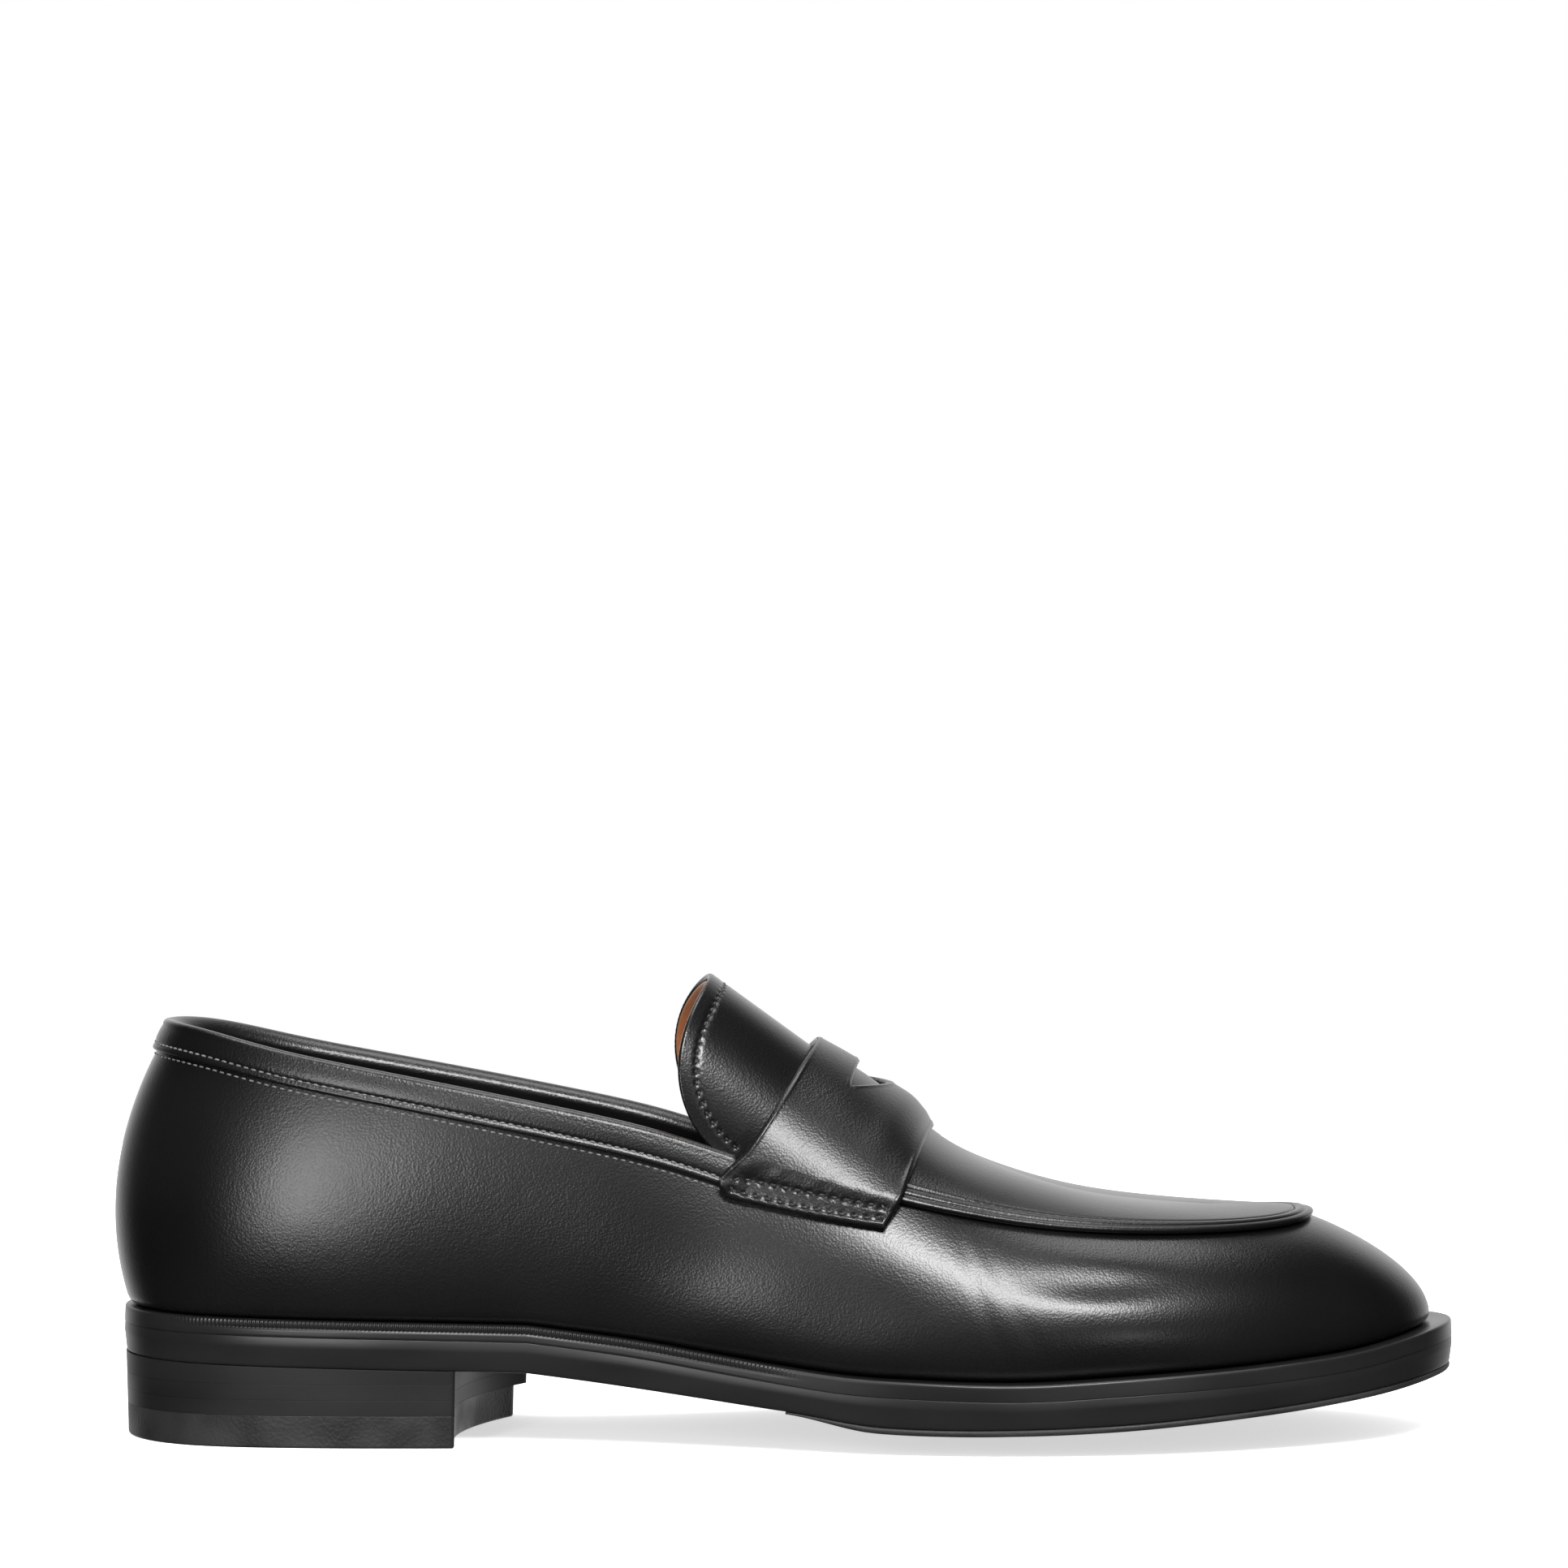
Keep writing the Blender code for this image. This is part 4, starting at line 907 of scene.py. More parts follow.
def makeApron():
    # rows in from the rounded cut edge, past a creased line and a stitched channel, to the crown
    s = mirroredStations(apronShape["start"], apronShape["spacing"])
    near = np.concatenate([edgeSteps(apronShape["edgeRound"], 8), apronShape["rows"]])
    nearHeights = np.stack([archInset(s, d) for d in near], axis=1)
    onward = np.linspace(0.0, 1.0, 22)[1:]
    farHeights = nearHeights[:, -1:] + (2.0 - nearHeights[:, -1:]) * onward
    w = np.concatenate([nearHeights, farHeights], axis=1)
    w[:, 0], w[:, -1] = apronEdge, 2.0
    d = np.concatenate([near, np.full(len(onward), farAway)])
    thick, gap = apronShape["thickness"], last["layerGap"]
    full = roundEdge(d, apronShape["edgeRound"])
    relief = groove(d, apronShape["rimIn"], 1.0, apronShape["rimHeight"]) \
        - groove(d, apronShape["creaseIn"], apronShape["creaseWidth"], apronShape["creaseDepth"]) \
        - groove(d, apronShape["stitchIn"], apronShape["channelWidth"], apronShape["channelDepth"])
    top = -(gap + 0.5 * thick + (0.5 * thick) * full + relief)
    under = -(gap + 0.5 * thick - 0.5 * thick * full)
    sheet = (layerPoint(s[:, None], w, top[None]), layerPoint(s[:, None], w, under[None]))
    addShell("apronLeather", [sheet], apronCalf, ["apron"], "apron_calf")
    line = mirroredStations(apronShape["stitchFrom"], 1.0)
    run = surfaceRun(layerPoint, line, archInset(line, apronShape["stitchIn"]),
                     -(gap + thick - apronShape["channelDepth"] + 0.06))
    stitchPiece("apronStitches", [run], blackThread, "shoe", **apronShape["stitches"])


strapShape = {
    "thickness": 1.7,
    "front": 1.96,          # stations from the rear edge to the front edge at the crown
    "slotHalfLength": 0.27,
    "slotHalfWidth": 0.118,
    "slotPlace": 0.455,
    "slotBow": 0.07,        # its ends lie further back than its middle
    "puff": 0.9,            # swell of the front limb over the crown
    "acrossCrown": 0.72,    # share of the half length that lies over the arch
    "cornerRadius": 3.6,    # rear lower corner
    "softening": 0.022,     # bends are averaged over this much of the half length
    "endWidth": 36.5,       # across the sewn end
    "lowEnd": 0.78,         # height w of the sewn end at its rear
    "rearLift": 1.05,       # it climbs over the collar band behind
    "frontCurl": 0.9,       # its front edge turns down to the apron
    "edgeRound": 0.85,
    "lip": 0.12,            # swell just inside a cut edge
    "edgeIn": 1.9,          # stitch loop, in from the edges
    "loopHeight": 3.6,
    "loopCorner": 1.9,
    "foldFrom": 11.0,       # gathers above the loop, up from the end
    "foldDepth": 0.08,
    "stitches": {"pitch": 2.7, "length": 1.8, "radius": 0.30},
}


def strapLine(q, p):
    # stations and heights of the strap: q across from -1 to 1, p from its rear edge to its front edge
    reach = np.abs(q)
    over = strapShape["acrossCrown"]
    down = np.clip((reach - over) / (1.0 - over), 0.0, 1.0)
    throat = last["throatStation"]
    rear = throat + 0.09 * smoothStep(0.25, over, reach) - 0.26 * down
    front = throat + strapShape["front"] - 0.03 * smoothStep(0.0, over, reach) - 0.15 * down
    fold = rear + (front - rear) * p
    fromRear, radius = strapShape["endWidth"] * p, strapShape["cornerRadius"]
    short = np.clip(radius - fromRear, 0.0, radius)
    corner = 0.0235 * (radius - np.sqrt(np.maximum(radius ** 2 - short ** 2, 0.0)))
    lowest = strapShape["lowEnd"] + 0.05 * p + corner
    w = np.where(reach < over, 2.0 - reach / over, 1.0 - (1.0 - lowest) * down)
    return np.where(q < 0.0, fold, fullTurn - fold), w


def strapPoint(q, p, rise):
    # the strap lies on the wall at its ends and over the apron between; bends are softened across
    q, p, rise = together(q, p, rise)
    ease = smoothStep(0.0, 0.05, 1.0 - np.abs(q))
    overApron = apronShape["thickness"] + last["layerGap"]
    total = 0.0
    for offset, share in zip(range(-2, 3), np.array([1.0, 4.0, 6.0, 4.0, 1.0]) / 16.0):
        s, w = strapLine(q + offset * strapShape["softening"] * ease, p)
        lift = last["layerGap"] + overApron * smoothStep(0.86, 1.0, w)
        lift = lift + strapShape["rearLift"] * (1.0 - smoothStep(0.03, 0.16, p)) \
            * smoothStep(0.795, 0.83, w) * (1.0 - smoothStep(0.9, 0.99, w))
        swell = groove(p, 0.76, 0.13, strapShape["puff"]) * smoothStep(1.0, 1.9, w)
        curl = strapShape["frontCurl"] * smoothStep(0.88, 1.0, p) * smoothStep(1.0, 1.9, w)
        total = total + share * layerPoint(s, w, -lift - rise - swell + curl)
    return total


def slotRim(q):
    # the slot's middle line and half width at q: a lens bowed back at its ends
    share = np.clip((q / strapShape["slotHalfLength"]) ** 2, 0.0, 1.0)
    middle = strapShape["slotPlace"] - strapShape["slotBow"] * share
    return middle, strapShape["slotHalfWidth"] * (1.0 - share) ** 0.9


def strapNormal(q, p):
    # cross product of the outer face's two directions
    step, face = 0.004, strapShape["thickness"]
    across = strapPoint(q + step, p, face) - strapPoint(q - step, p, face)
    ahead = strapPoint(q, p + step, face) - strapPoint(q, p - step, face)
    normal = np.cross(ahead, across)
    return normal / np.linalg.norm(normal, axis=-1, keepdims=True)


def strapInset(side, p, inset):
    # q at a distance up from the strap's lower end
    trial = np.linspace(1.0, 0.55, 90)
    path = strapPoint(side * trial[None, :], p[:, None], strapShape["thickness"])
    return side * rowInterp(np.broadcast_to(inset, p.shape).astype(float), walked(path), trial)


def stitchLoop():
    # rounded rectangle in the strap's own flat measure: along the end, and up from it
    inset, radius, width = strapShape["edgeIn"], strapShape["loopCorner"], strapShape["endWidth"]
    turn = np.linspace(0.0, 2.0 * np.pi, 241)
    halfWide, halfTall = 0.5 * width - inset, 0.5 * strapShape["loopHeight"]
    u = np.clip(1.8 * halfWide * np.cos(turn), radius - halfWide, halfWide - radius)
    v = np.clip(1.8 * halfTall * np.sin(turn), radius - halfTall, halfTall - radius)
    corner = radius * np.stack([np.cos(turn), np.sin(turn)], axis=-1)
    u, v = u + corner[:, 0], v + corner[:, 1]
    return u + 0.5 * width, v + inset + halfTall


def makeStrap():
    # two limbs round the lens slot, rounded along every cut edge
    slotHalf, over = strapShape["slotHalfLength"], strapShape["acrossCrown"]
    right = np.concatenate([np.linspace(0.0, slotHalf, 28), np.linspace(slotHalf, over, 30)[1:-1],
                            np.linspace(over, 1.0, 64)])
    q = np.concatenate([-right[:0:-1], right])
    place, opening = slotRim(q)
    share = 0.5 - 0.5 * np.cos(np.linspace(0.0, np.pi, 66))
    thick, loopTop = strapShape["thickness"], strapShape["edgeIn"] + strapShape["loopHeight"]

    def limb(start, stop):
        p = start[:, None] + (stop - start)[:, None] * share
        return np.broadcast_to(q[:, None], p.shape), p

    limbs = [limb(0.0 * q, place - opening), limb(place + opening, 0.0 * q + 1.0)]
    rim = np.linspace(-1.0, 1.0, 500)
    slotLine = np.linspace(-slotHalf, slotHalf, 200)
    slotMiddle, slotOpen = slotRim(slotLine)
    ends = np.linspace(0.0, 1.0, 120)
    edge = np.concatenate([strapPoint(rim, 0.0, thick), strapPoint(rim, 1.0, thick),
                           strapPoint(slotLine, slotMiddle - slotOpen, thick),
                           strapPoint(slotLine, slotMiddle + slotOpen, thick),
                           strapPoint(-1.0, ends, thick), strapPoint(1.0, ends, thick)])
    runs = []
    for side in (-1.0, 1.0):
        u, v = stitchLoop()
        along = u / strapShape["endWidth"]
        upFromEnd = strapInset(side, along, v)
        runs.append((strapPoint(upFromEnd, along, thick - 0.30), strapNormal(upFromEnd, along)))
    centres = stitchCentres(runs, strapShape["stitches"]["pitch"])
    sheets = []
    for across, p in limbs:
        flat = strapPoint(across, p, thick)
        distance = toBoundary(flat, edge)
        full = roundEdge(distance, strapShape["edgeRound"])
        lowEnd = smoothStep(0.70, 0.80, np.abs(across))
        folds = np.cos(2.0 * np.pi * p * 5.2) + 0.6 * np.cos(2.0 * np.pi * p * 8.7 + 1.1)
        fromEnd = (1.0 - np.abs(across)) / 0.026
        dent = pressed(flat, centres, 0.62, 0.45) + groove(fromEnd, loopTop + 0.2, 0.9, 0.12) \
            + groove(fromEnd, strapShape["foldFrom"], 3.0, strapShape["foldDepth"]) * folds
        lip = groove(distance, 0.9, 0.35, strapShape["lip"])
        rise = thick * (0.5 + 0.5 * full) + lip - dent * lowEnd * full
        sheets.append((strapPoint(across, p, rise), strapPoint(across, p, thick * (0.5 - 0.5 * full))))
    addShell("strapLeather", sheets, strapCalf, ["strap"], "strap_calf")
    stitchPiece("strapStitches", runs, blackThread, "shoe", **strapShape["stitches"])


makeWall()
makeCollar()
makeApron()
makeStrap()
print("upper ready")


tongue = {
    "hinge": (156.0, 0.0, 87.6),
    "slope": math.radians(36.0),
    "radius": 26.3,
    "length": 27.6,
    "root": 6.5,            # tucked under the strap, in front of the hinge
    "halfArc": 46.0,
    "medialLean": 2.6,      # the inner side of the foot reaches further up the instep
    "thickness": 1.5,
    "liningGap": 0.3,
    "liningThickness": 0.9,
    "edgeRound": 0.75,
    "stitchIn": 4.0,
    "stitches": {"pitch": 2.4, "length": 1.25, "radius": 0.30},
    "rootHold": 0.0025,     # metres: this far in front of the hinge it stays with the strap
    "freeFrom": 0.006,      # metres: this far behind the hinge it turns fully
}
alongBack = np.array([-math.cos(tongue["slope"]), 0.0, math.sin(tongue["slope"])])
tongueUp = np.array([math.sin(tongue["slope"]), 0.0, math.cos(tongue["slope"])])


def tonguePoint(along, arc, depth):
    # rolled sheet: distance back from the hinge, arc from the crown, depth below its face
    along, arc, depth = together(along, arc, depth)
    radius = tongue["radius"]
    turn = np.clip(arc / radius, -0.5 * np.pi, 0.5 * np.pi)
    past = np.abs(arc) - np.minimum(np.abs(arc), 0.5 * np.pi * radius)
    side = (radius - depth) * np.sin(turn)
    drop = radius - (radius - depth) * np.cos(turn) + past
    flat = np.array(tongue["hinge"]) + along[..., None] * alongBack
    return flat + side[..., None] * np.array([0.0, 1.0, 0.0]) - drop[..., None] * tongueUp


def tongueEdge(share, inset):
    # free end like a shield: length (1 - |share|^3.6)^0.5, leaning over to the inner side
    lean = tongue["medialLean"] * smoothStep(-0.2, 0.75, share)
    return (tongue["length"] - inset + lean) * np.sqrt(np.clip(1.0 - np.abs(share) ** 3.6, 0.0, 1.0))


def tongueSheet(inset, near, far, centres=None):
    # one layer between two depths, its edge an inset in from the leather's and pressed in round
    # the stitches
    half = tongue["halfArc"] - inset
    share = np.sin(np.linspace(-0.5, 0.5, 261) * np.pi)
    arc = (half * share)[:, None]
    run = np.sin(np.linspace(0.0, 0.5 * np.pi, 120))
    along = -tongue["root"] + (tongueEdge(share, inset)[:, None] + tongue["root"]) * run
    rim = np.sin(np.linspace(-0.5, 0.5, 700) * np.pi)
    side = np.linspace(-tongue["root"], 0.0, 40)
    boundary = np.concatenate([
        np.stack([half * rim, tongueEdge(rim, inset)], axis=-1),
        np.stack([np.full(40, -half), side], axis=-1), np.stack([np.full(40, half), side], axis=-1)])
    flat = np.stack([np.broadcast_to(arc, along.shape), along], axis=-1)
    distance = toBoundary(flat, boundary)
    full = roundEdge(distance, tongue["edgeRound"])
    middle, thick = 0.5 * (near + far), 0.5 * (far - near)
    relief = 0.0
    if centres is not None:
        face = tonguePoint(along, arc, near)
        relief = groove(distance, tongue["stitchIn"], 0.9, 0.10) + pressed(face, centres, 0.60, 0.40)
        relief = relief * full
    return (tonguePoint(along, arc, middle - thick * full + relief),
            tonguePoint(along, arc, middle + thick * full))


def blendTongue(piece):
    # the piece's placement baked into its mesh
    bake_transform(piece)


def makeTongue():
    # stitch row: the line of the free end moved in
    rim = np.sin(np.linspace(-0.5, 0.5, 900) * np.pi)
    freeEdge = np.stack([tongue["halfArc"] * rim, tongueEdge(rim, 0.0)], axis=-1)
    ahead = np.gradient(freeEdge, axis=0)
    ahead /= np.linalg.norm(ahead, axis=1, keepdims=True)
    row = freeEdge - np.stack([-ahead[:, 1], ahead[:, 0]], axis=-1) * tongue["stitchIn"]
    keep = row[:, 1] > -1.0
    arc, along = row[keep, 0], row[keep, 1]
    face = tonguePoint(along, arc, 0.30)
    run = (face, tonguePoint(along, arc, -0.78) - face)
    centres = stitchCentres([run], tongue["stitches"]["pitch"])
    blendTongue(stitchPiece("tongueStitches", [run], blackThread, None, **tongue["stitches"]))
    blendTongue(addShell("tongueLeather", [tongueSheet(0.0, 0.0, tongue["thickness"], centres)],
                         tongueCalf, ["tongue"], "tongue_calf", body=None))
    near = tongue["thickness"] + tongue["liningGap"]
    blendTongue(addShell("tongueTanLining", [tongueSheet(0.6, near, near + tongue["liningThickness"])],
                         tanLining, ["tongue_lining"], "tan_lining", body=None))


makeTongue()
print("tongue ready")


linings = {
    "stiffener": 1.2,       # thickness of the heel counter and the toe puff
    "spacing": 2.0,
    "quarterEnd": 8.22,     # stations where the two linings meet
    "vampStart": 8.27,
    "foot": 4.6,            # rise of the lower edge above the feather edge
    "topDrop": 1.9,         # upper edge, down from the top line
}


def stiffened(s, w):
    # 1 where the heel counter or the toe puff lies behind the leather
    fold = foldStation(s)
    counter = (1.0 - smoothStep(6.3, 7.2, fold)) * (1.0 - smoothStep(0.67, 0.84, w))
    puff = smoothStep(12.0, 12.9, fold) * (1.0 - smoothStep(1.0, 1.25, w))
    return np.maximum(counter, puff)


def liningDepth(s, w):
    # behind the leather and its stiffeners, closing up to the apron over the arch
    behind = (last["upperThickness"] + last["layerGap"]
              + (linings["stiffener"] + last["layerGap"]) * stiffened(s, w))
    return behind * (1.0 - smoothStep(1.12, 1.4, w))


def liningSheet(s, w):
    # outer and inner faces
    depth = liningDepth(s[:, None], w)
    return layerPoint(s[:, None], w, depth), layerPoint(s[:, None], w, depth + last["liningThickness"])


def makeLinings():
    # even rows: up the quarter to the collar, and up the vamp then over the arch to the crown
    end = linings["quarterEnd"]
    s = evenStations(-end, end, linings["spacing"])
    low, high = aboveFeather(s, linings["foot"]), belowTop(s, linings["topDrop"])
    w = low[:, None] + (high - low)[:, None] * np.linspace(0.0, 1.0, 26)
    addShell("quarterLining", [liningSheet(s, w)], darkLining, ["quarter_lining"], "black_lining")
    s = mirroredStations(linings["vampStart"], linings["spacing"])
    low = aboveFeather(s, linings["foot"])
    wallRows = low[:, None] + (1.0 - low)[:, None] * np.linspace(0.0, 1.0, 14)
    archRows = np.broadcast_to(1.0 + np.linspace(0.0, 1.0, 15)[1:], (len(s), 14))
    w = np.concatenate([wallRows, archRows], axis=1)
    addShell("vampLining", [liningSheet(s, w)], darkLining, ["vamp_lining"], "black_lining")


sole = {
    "weltThickness": 3.5,
    "weltInner": 7.0,
    "gap": 0.06,            # hairline between layers
    "weltSeat": 0.3,        # the outsole starts this far below the welt's own thickness
    "camber": 4.8,          # the middle of the tread stands this much lower than its edge
    "edgeDrop": 1.1,
    "treadThickness": 1.2,
    "treadRear": 151.0,
    "treadFull": 169.0,     # skived from the rear up to here
    "treadInset": 0.5,
    "spine": (28.0, 268.0), # the plates close along this stretch of the middle line
    "ridgePitch": 0.94,
    "ridgeDepth": 0.34,
    "ridgeFrom": 8.0,
    "ridgeTo": 156.0,
    "ridgeFade": 22.0,
}


def soleMargin(s):
    # how far the sole's edge stands out beyond the feather edge
    return marginLoop(s)[..., 0]


def spinePoint(s):
    # the middle line opposite a station, the same for both sides
    fold = foldStation(s)
    near, far = featherLoop(fold), featherLoop(fullTurn - fold)
    x = np.clip(near[..., 0], *sole["spine"])
    y = 0.5 * (near[..., 1] + far[..., 1])
    ends = (near[..., 0] > sole["spine"][0]) & (near[..., 0] < sole["spine"][1])
    foldAtEnd = np.where(near[..., 0] < 150.0, 0.0, toeStation)
    lastY = featherLoop(foldAtEnd)[..., 1]
    return np.stack([x, np.where(ends, y, lastY), 0.0 * x], axis=-1)


def edgePoint(s, beyond):
    # level points beyond (or within) the feather edge
    return featherLoop(s)[..., None, :] * (1.0, 1.0, 0.0) + outward(s)[..., None, :] * beyond[..., None]


def soleSide(s, beyond, shares, topHeight, bottomHeight):
    # rows up the plate's edge, at shares of the way from its underside to its top
    rim = edgePoint(s, beyond)
    low, high = bottomHeight(rim[..., 0], 1.0), topHeight(rim[..., 0], 1.0)
    rim[..., 2] = low + (high - low) * shares
    return rim


def solePlate(s, margin, side, inward, topHeight, bottomHeight):
    # side: (inset, share of thickness) up the edge; inward: shares of the way out from the spine
    insets, shares = np.asarray(side, float).T
    rim = soleSide(s, margin[:, None] - insets, shares, topHeight, bottomHeight)
    share = np.asarray(inward, float)[None, :]
    spine = spinePoint(s)[:, None]

    def across(edge, height):
        grid = spine + (edge - spine) * share[..., None]
        grid[..., 2] = height(grid[..., 0], np.broadcast_to(share, grid.shape[:2]))
        return grid

    return plateSheet(rim, across(rim[:, -1:], topHeight), across(rim[:, :1], bottomHeight))


def plateSheet(rim, top, bottom):
    # the edge and top as one sheet, the underside as the other, meeting at the edge's foot
    folded = np.broadcast_to(rim[:, :1], rim.shape)
    return np.concatenate([rim, top], axis=1), np.concatenate([folded, bottom], axis=1)


def inwardShares(power=1.0, count=15):
    # 1 - t^power, from the edge (left out) to the spine
    return 1.0 - np.linspace(0.0, 1.0, count)[1:] ** power


def treadHeight(x, k):
    # underside of the outsole: its edge, lower where the thin tread begins, less the camber
    # (1 - k^2) to the middle
    edge = outsoleHeight(x) - sole["edgeDrop"] * smoothStep(150.0, 172.0, x)
    return edge - (sole["camber"] - sole["edgeDrop"]) * camberShare(x) * (1.0 - k ** 2)


def outsoleTop(x, k):
    # level across the shoe, under the welt
    return featherHeight(x) - sole["weltThickness"] - sole["weltSeat"]


def makeWelt():
    # rounded leather rand with wheeled ridges along its upper edge, from the heel to the waist
    s = ringStations(0.16)
    margin = soleMargin(s)[:, None]
    edge = edgePoint(s, margin)[:, 0]
    walk = np.cumsum(np.linalg.norm(edge - np.roll(edge, 1, axis=0), axis=1))
    start, stop, fade = sole["ridgeFrom"], sole["ridgeTo"], sole["ridgeFade"]
    zone = smoothStep(start, start + fade, edge[:, :1]) \
        * (1.0 - smoothStep(stop - fade, stop, edge[:, :1]))
    count = round(walk[-1] / sole["ridgePitch"])
    wave = np.abs(np.sin(np.pi * count * walk / walk[-1])) ** 1.4
    # up the side: share of thickness, inset where it is ridged, inset where it is plain, ridge
    side = np.array([
        (0.00, 0.16, 0.02, 0.0), (0.02, 0.11, 0.02, 0.0), (0.14, 0.12, 0.03, 0.0),
        (0.34, 0.16, 0.06, 0.0), (0.45, 0.20, 0.08, 0.0), (0.50, 0.44, 0.09, 0.0),
        (0.55, 0.28, 0.10, 0.6), (0.64, 0.16, 0.12, 1.0), (0.76, 0.14, 0.14, 1.0),
        (0.87, 0.20, 0.17, 1.0), (0.955, 0.42, 0.34, 0.8), (1.00, 0.85, 0.80, 0.3)])
    shares, ridgedInset, plainInset, band = side.T
    ridges = sole["ridgeDepth"] * (1.0 - wave)[:, None] * band * zone
    insets = ridgedInset * zone + plainInset * (1.0 - zone)
    top = lambda x, k: featherHeight(x) - 0.12
    bottom = lambda x, k: outsoleTop(x, k) + sole["gap"]
    rim = soleSide(s, margin - insets - ridges, shares, top, bottom)
    inner = edgePoint(s, np.array([[-2.0, -sole["weltInner"]]]) + 0.0 * margin)
    topIn, bottomIn = inner.copy(), inner.copy()
    topIn[..., 2], bottomIn[..., 2] = top(inner[..., 0], 1.0), bottom(inner[..., 0], 1.0)
    sheet = plateSheet(rim, topIn, bottomIn)
    addShell("weltRand", [sheet], weltWax, ["welt"], "welt_leather", wrap=True)


def makeOutsole():
    # leather plate: bevelled foot, nearly upright side, hollowed waist
    s = ringStations(0.8)
    side = [(0.95, 0.0), (0.62, 0.02), (0.50, 0.07), (0.44, 0.14), (0.08, 0.62), (0.02, 0.68),
            (0.02, 0.74), (0.10, 0.98), (0.15, 1.0)]
    sheet = solePlate(s, soleMargin(s), side, inwardShares(1.25), outsoleTop, treadHeight)
    addShell("outsoleLeather", [sheet], soleEdge, ["outsole"], "sole_edge_leather", wrap=True)


def makeHalfSole():
    # thin rubber tread, skived down to its rear edge
    trial = np.linspace(8.0, 11.0, 200)
    start = float(np.interp(sole["treadRear"], featherLoop(trial)[:, 0], trial))
    s = mirroredStations(start, 0.8)
    skive = lambda x: 0.25 + 0.75 * smoothStep(sole["treadRear"], sole["treadFull"], x)
    top = lambda x, k: treadHeight(x, k) - sole["gap"]
    bottom = lambda x, k: treadHeight(x, k) - 0.3 - sole["treadThickness"] * skive(x)
    side = [(0.75, 0.0), (0.32, 0.07), (0.06, 0.28), (0.0, 0.55), (0.05, 0.82), (0.28, 1.0)]
    sheet = solePlate(s, soleMargin(s) - sole["treadInset"], side, inwardShares(1.25), top, bottom)
    addShell("rubberHalfSole", [sheet], halfSoleRubber, ["half_sole"], "tread_rubber")


sock = {
    "rise": 3.7 + 0.3,      # board and its gaps above the feather edge
    "thickness": 1.0,
    "padThickness": 2.5,
    "padFront": 64.0,
    "padCentre": 38.0,
    "padInset": 6.4,
    "rampLength": 17.0,     # the sock comes down to the board over this stretch
    "clearance": 0.2,
    "edgeStitch": 3.0,
    "stitches": {"pitch": 2.4, "length": 1.9, "radius": 0.17},
}


def padRise(x):
    # what the cushion lifts the sock by
    end = sock["padFront"] + 1.0
    return (sock["padThickness"] + 0.3) * (1.0 - smoothStep(end, end + sock["rampLength"], x))


def sockMargin(s):
    # how far the sock reaches, just clear of the lining at its own height
    edge = featherLoop(s)
    w = aboveFeather(s, sock["rise"] + sock["thickness"] + padRise(edge[:, 0]))
    lining = layerPoint(s, w, liningDepth(s, w) + last["liningThickness"] + sock["clearance"])
    return ((lining - edge)[:, :2] * outward(s)[:, :2]).sum(axis=1)


def makeSock():
    # leather sock over the insole board and the heel cushion, stitched round
    s = ringStations(1.6)
    margin = sockMargin(s)
    top = lambda x, k: featherHeight(x) + sock["rise"] + sock["thickness"] + padRise(x) \
        + 0.25 * k ** 6 - groove(36.0 * (1.0 - k), sock["edgeStitch"], 0.8, 0.2)
    bottom = lambda x, k: featherHeight(x) + sock["rise"] + padRise(x)
    side = [(0.3, 0.0), (0.0, 0.45), (0.08, 0.8), (0.35, 1.0)]
    sheet = solePlate(s, margin, side, inwardShares(count=13), top, bottom)
    addShell("sockLining", [sheet], sockLeather, ["sock"], "sock_leather", wrap=True)
    row = edgePoint(s, (margin - sock["edgeStitch"])[:, None])[:, 0]
    row = np.concatenate([row, row[:1]])
    row[:, 2] = top(row[:, 0], 0.9) + stitchSeat
    run = (row, np.tile(upward, (len(row), 1)))
    stitchPiece("sockStitches", [run], collarThread, "shoe", **sock["stitches"])


def makeHeelCushion():
    # crowned foam pad, thin at its rim, under the sock
    s = evenStations(-3.95, 3.95, 1.6)
    edge = edgePoint(s, np.full((len(s), 1), -sock["padInset"]))[:, 0]
    edge = edge[edge[:, 0] <= sock["padFront"]]
    front = np.linspace(edge[-1], edge[0], 24)[1:-1]
    rim = np.concatenate([edge, front])
    centre = np.array([sock["padCentre"], 0.0, 0.0])
    share = np.concatenate([[0.0], np.sin(np.linspace(0.1, 0.5 * np.pi, 14))])[::-1]
    grid = centre + (rim[:, None] - centre) * share[None, :, None]
    half = 0.5 * sock["padThickness"]
    swell = half * 0.97 * np.sqrt(np.clip(1.0 - share ** 4, 0.0, 1.0))
    level = featherHeight(grid[..., 0]) + sock["rise"] - 0.25 + half
    top, under = grid.copy(), grid.copy()
    top[..., 2], under[..., 2] = level + swell, level - swell
    pad = addShell("heelCushion", [(top, under)], heelFoam, ["heel_pad"], "foam", wrap=True)


heel = {
    "topPiece": 7.2,         # thickness of the rubber top piece, and of each leather lift
    "lift": 3.5,
    "inset": 0.35,           # within the edge of the sole
    "centre": 44.0,
    "hairline": 0.02,        # between two lifts
    "edgeRadius": 0.03,
    "topPieceRadius": 0.08,
    "soleRadius": 0.5,       # rounding of the edge that meets the ground
    "breastLateral": 77.5,
    "breastMedial": 91.0,
    "hollow": 6.0,
    "cornerCut": 5.0,
    "pins": ((14.0, 0.0), (30.0, 18.0), (30.0, -18.0), (58.0, -18.0), (58.0, 16.0)),
    # radius, foot, head and dome
    "pinSize": (0.8, 0.8, 14.2, 0.35),
    "holeSize": (1.1, -1.0, 17.4, -0.4),
    "taper": 0.012,          # sides draw in towards the ground
    "taperFrom": 19.0,
}


